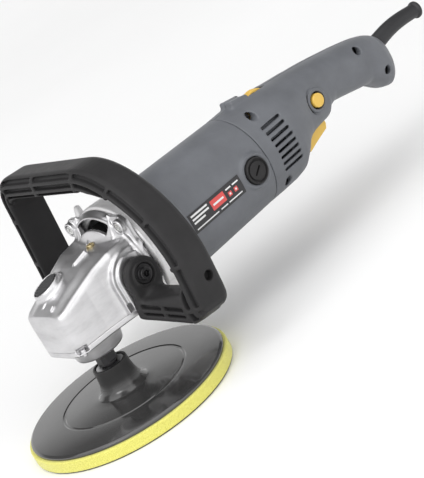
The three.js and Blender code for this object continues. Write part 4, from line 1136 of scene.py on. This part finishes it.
def loop_slots(field):
    """Cuts the rows of slots in the loop's front face."""
    x, y, z = field.grid()
    path = [(-107, 40)] + loop_outer()[7:-14] + [(107, 40)]
    away, place = along_path(path, y, z)
    ribs = along_path(path, *np.array(LOOP_RIBS, float).T)[1].tolist()
    gap = np.min([np.abs(place - rib) for rib in ribs], axis=0)
    thick = away + np.abs(polygon_distance(loop_inner(), y, z))
    inset = np.clip(LOOP_EDGE - away, 0, LOOP_EDGE)
    face = LOOP_X + LOOP_EDGE - np.sqrt(LOOP_EDGE ** 2 - inset ** 2)
    for depth, half in LOOP_ROWS:
        slot = round_max(np.abs(away - depth) - half, RIB_HALF - gap, 1.2)
        slot = np.maximum(slot, foot_low(y) + FOOT_LIP - z)
        if (depth, half) == LOOP_ROWS[-1]:      # the last row stops where the loop gets thin
            slot = np.maximum(np.maximum(slot, THICK_ENOUGH - thick), LAST_ROW_Z - z)
        field.d = smooth_max(field.d, -np.maximum(slot, x - face - SLOT_DEPTH), 0.6)
    for height, half in FOOT_ROWS:
        for middle, reach in FOOT_SLOTS:
            across = np.abs(np.abs(y) - middle) - reach
            slot = round_max(np.abs(z - foot_low(y) - height) - half, across, 0.9)
            field.d = smooth_max(field.d, -np.maximum(slot, x - foot_front(y) - SLOT_DEPTH), 0.5)


def foot_block(field):
    """The solid web between a cheek and the loop's lower bar."""
    x, y, z = field.grid()
    solid = (foot_front(y) - x) * 0.97
    for face, edge in ((np.abs(y) - 98, 3.0), (x - 63, 5.0), (z - 80, 5.0), (foot_low(y) - z, 3.0)):
        solid = round_max(solid, face, edge)
    field.d = smooth_min(field.d, np.maximum(solid, CHEEK_Y - np.abs(y)), 4.0)


RING_RADIUS, RING_RISE, POCKET_RADIUS = 10.2, 53.2, 8.3


def add_cheek(field, side, boss_x, boss_z):
    """The flat arm that carries a boss up from the foot."""
    near, far = outwards(side, CHEEK_Y, 51.6)
    foot = rounded([(27.5, 64, 7), (56, 62.5, 4), (boss_x + 15, boss_z - 4), (boss_x - 15, boss_z - 4)],
                   closed=True)
    field.add(extruded(foot, "y", near, far, 1.8), 5.0)
    field.add(bar("y", (boss_x, boss_z - 1.6), 15.4, near, far, 1.8), 1.5)
    field.add(capsule((42, side * 46, 80), (45, side * 80, 71), 6.5, 5.0), 6.0)


def add_boss_ring(field, side, boss_x, boss_z):
    """The bolt's ring and pocket, and the blind hole in the loop's flank."""
    boss = (boss_x, boss_z)
    field.add(bar("y", boss, RING_RADIUS, *outwards(side, 45, RING_RISE), 0.7), 0.4)
    field.cut(bar("y", boss, POCKET_RADIUS, *outwards(side, 50, 66), 0.3), 0.4)
    field.cut(bar("y", (58.5, 84.4), 4.1, *outwards(side, 99, 110), 0.3), 0.8)


def make_loop_handle():
    field = Field((20, -107.2, 52), (71, 107.2, 189.2), 0.75)
    x, y, z = field.grid()
    solid = round_max(polygon_distance(loop_outer(), y, z), LOOP_X - x, LOOP_EDGE)
    solid = round_max(solid, x - (LOOP_X + LOOP_DEPTH), 8.0)
    solid = round_max(solid, -polygon_distance(loop_inner(), y, z), 2.6)
    feet = np.where(z < 80, CHEEK_Y - np.abs(y), -50.0)
    field.d = np.maximum(solid, feet).astype(np.float32)
    boss = to_loop_frame(BOSS_X, BOSS_Z)
    for side in (-1, 1):
        add_cheek(field, side, *boss)
    foot_block(field)
    for side in (-1, 1):
        near, far = outwards(side, 40, 91.5)
        field.cut(block((54.2, near, 40), (80, far, 85), 3.0), 5.0)
    loop_slots(field)
    for side in (-1, 1):
        add_boss_ring(field, side, *boss)
    c, s = math.cos(LOOP_LEAN), math.sin(LOOP_LEAN)

    def lean(p):
        dx, dz = p[:, 0] - LOOP_X, p[:, 2] - LOOP_Z
        return np.stack([LOOP_X + dx * c + dz * s, p[:, 1], LOOP_Z - dx * s + dz * c], 1)
    from_field("d_handle_moulding", "tool", "black_plastic", field, ["d_handle"], lean)


def make_handle_bolts():
    """The socket-head bolts that hold the D handle."""
    socket, seat = 3.0, 50.4        # half-width of the hexagon; middle plane to the washer
    hexagon = [(socket * math.cos(math.pi * k / 3), socket * math.sin(math.pi * k / 3)) for k in range(6)]
    for name, side in (("left", -1), ("right", 1)):
        bolt = Field((-9, -9, 0), (9, 9, 6), 0.3)
        bolt.add(post(7.9, 0.2, 1.8, 0.4))
        bolt.add(post(5.0, 0.2, 5.6, 0.6), 0.3)
        bolt.cut(extruded(hexagon, "z", 1.4, 9, 0.1), 0.3)

        def place(p, side=side):
            return np.stack([BOSS_X + p[:, 0], side * (seat + p[:, 2]), BOSS_Z + p[:, 1]], 1)
        face_out(from_field(f"handle_bolt_head_{name}", "tool", "dark_steel", bolt,
                            [f"handle_bolt_{name}"], place))


def finish_cad_nodes():
    """Every CAD node that is still shown takes its slot's node material."""
    slots = {p["node"]: p["material_slot"] for p in frame["record"]["subparts"]}
    for name, node in frame["nodes"].items():
        node.data.materials.clear()
        node.data.materials.append(MATERIALS[slots[name]])


make_camera()
make_stage()
finish_cad_nodes()
make_pad()
make_spindle()
make_gear_case()
make_bearing_plate()
make_head_screws()
make_lock_button()
make_bell()
make_motor_housing()
make_brush_caps()
make_label()
make_handle()
make_controls()
make_trigger_spring()
make_boot()
make_loop_handle()
make_handle_bolts()
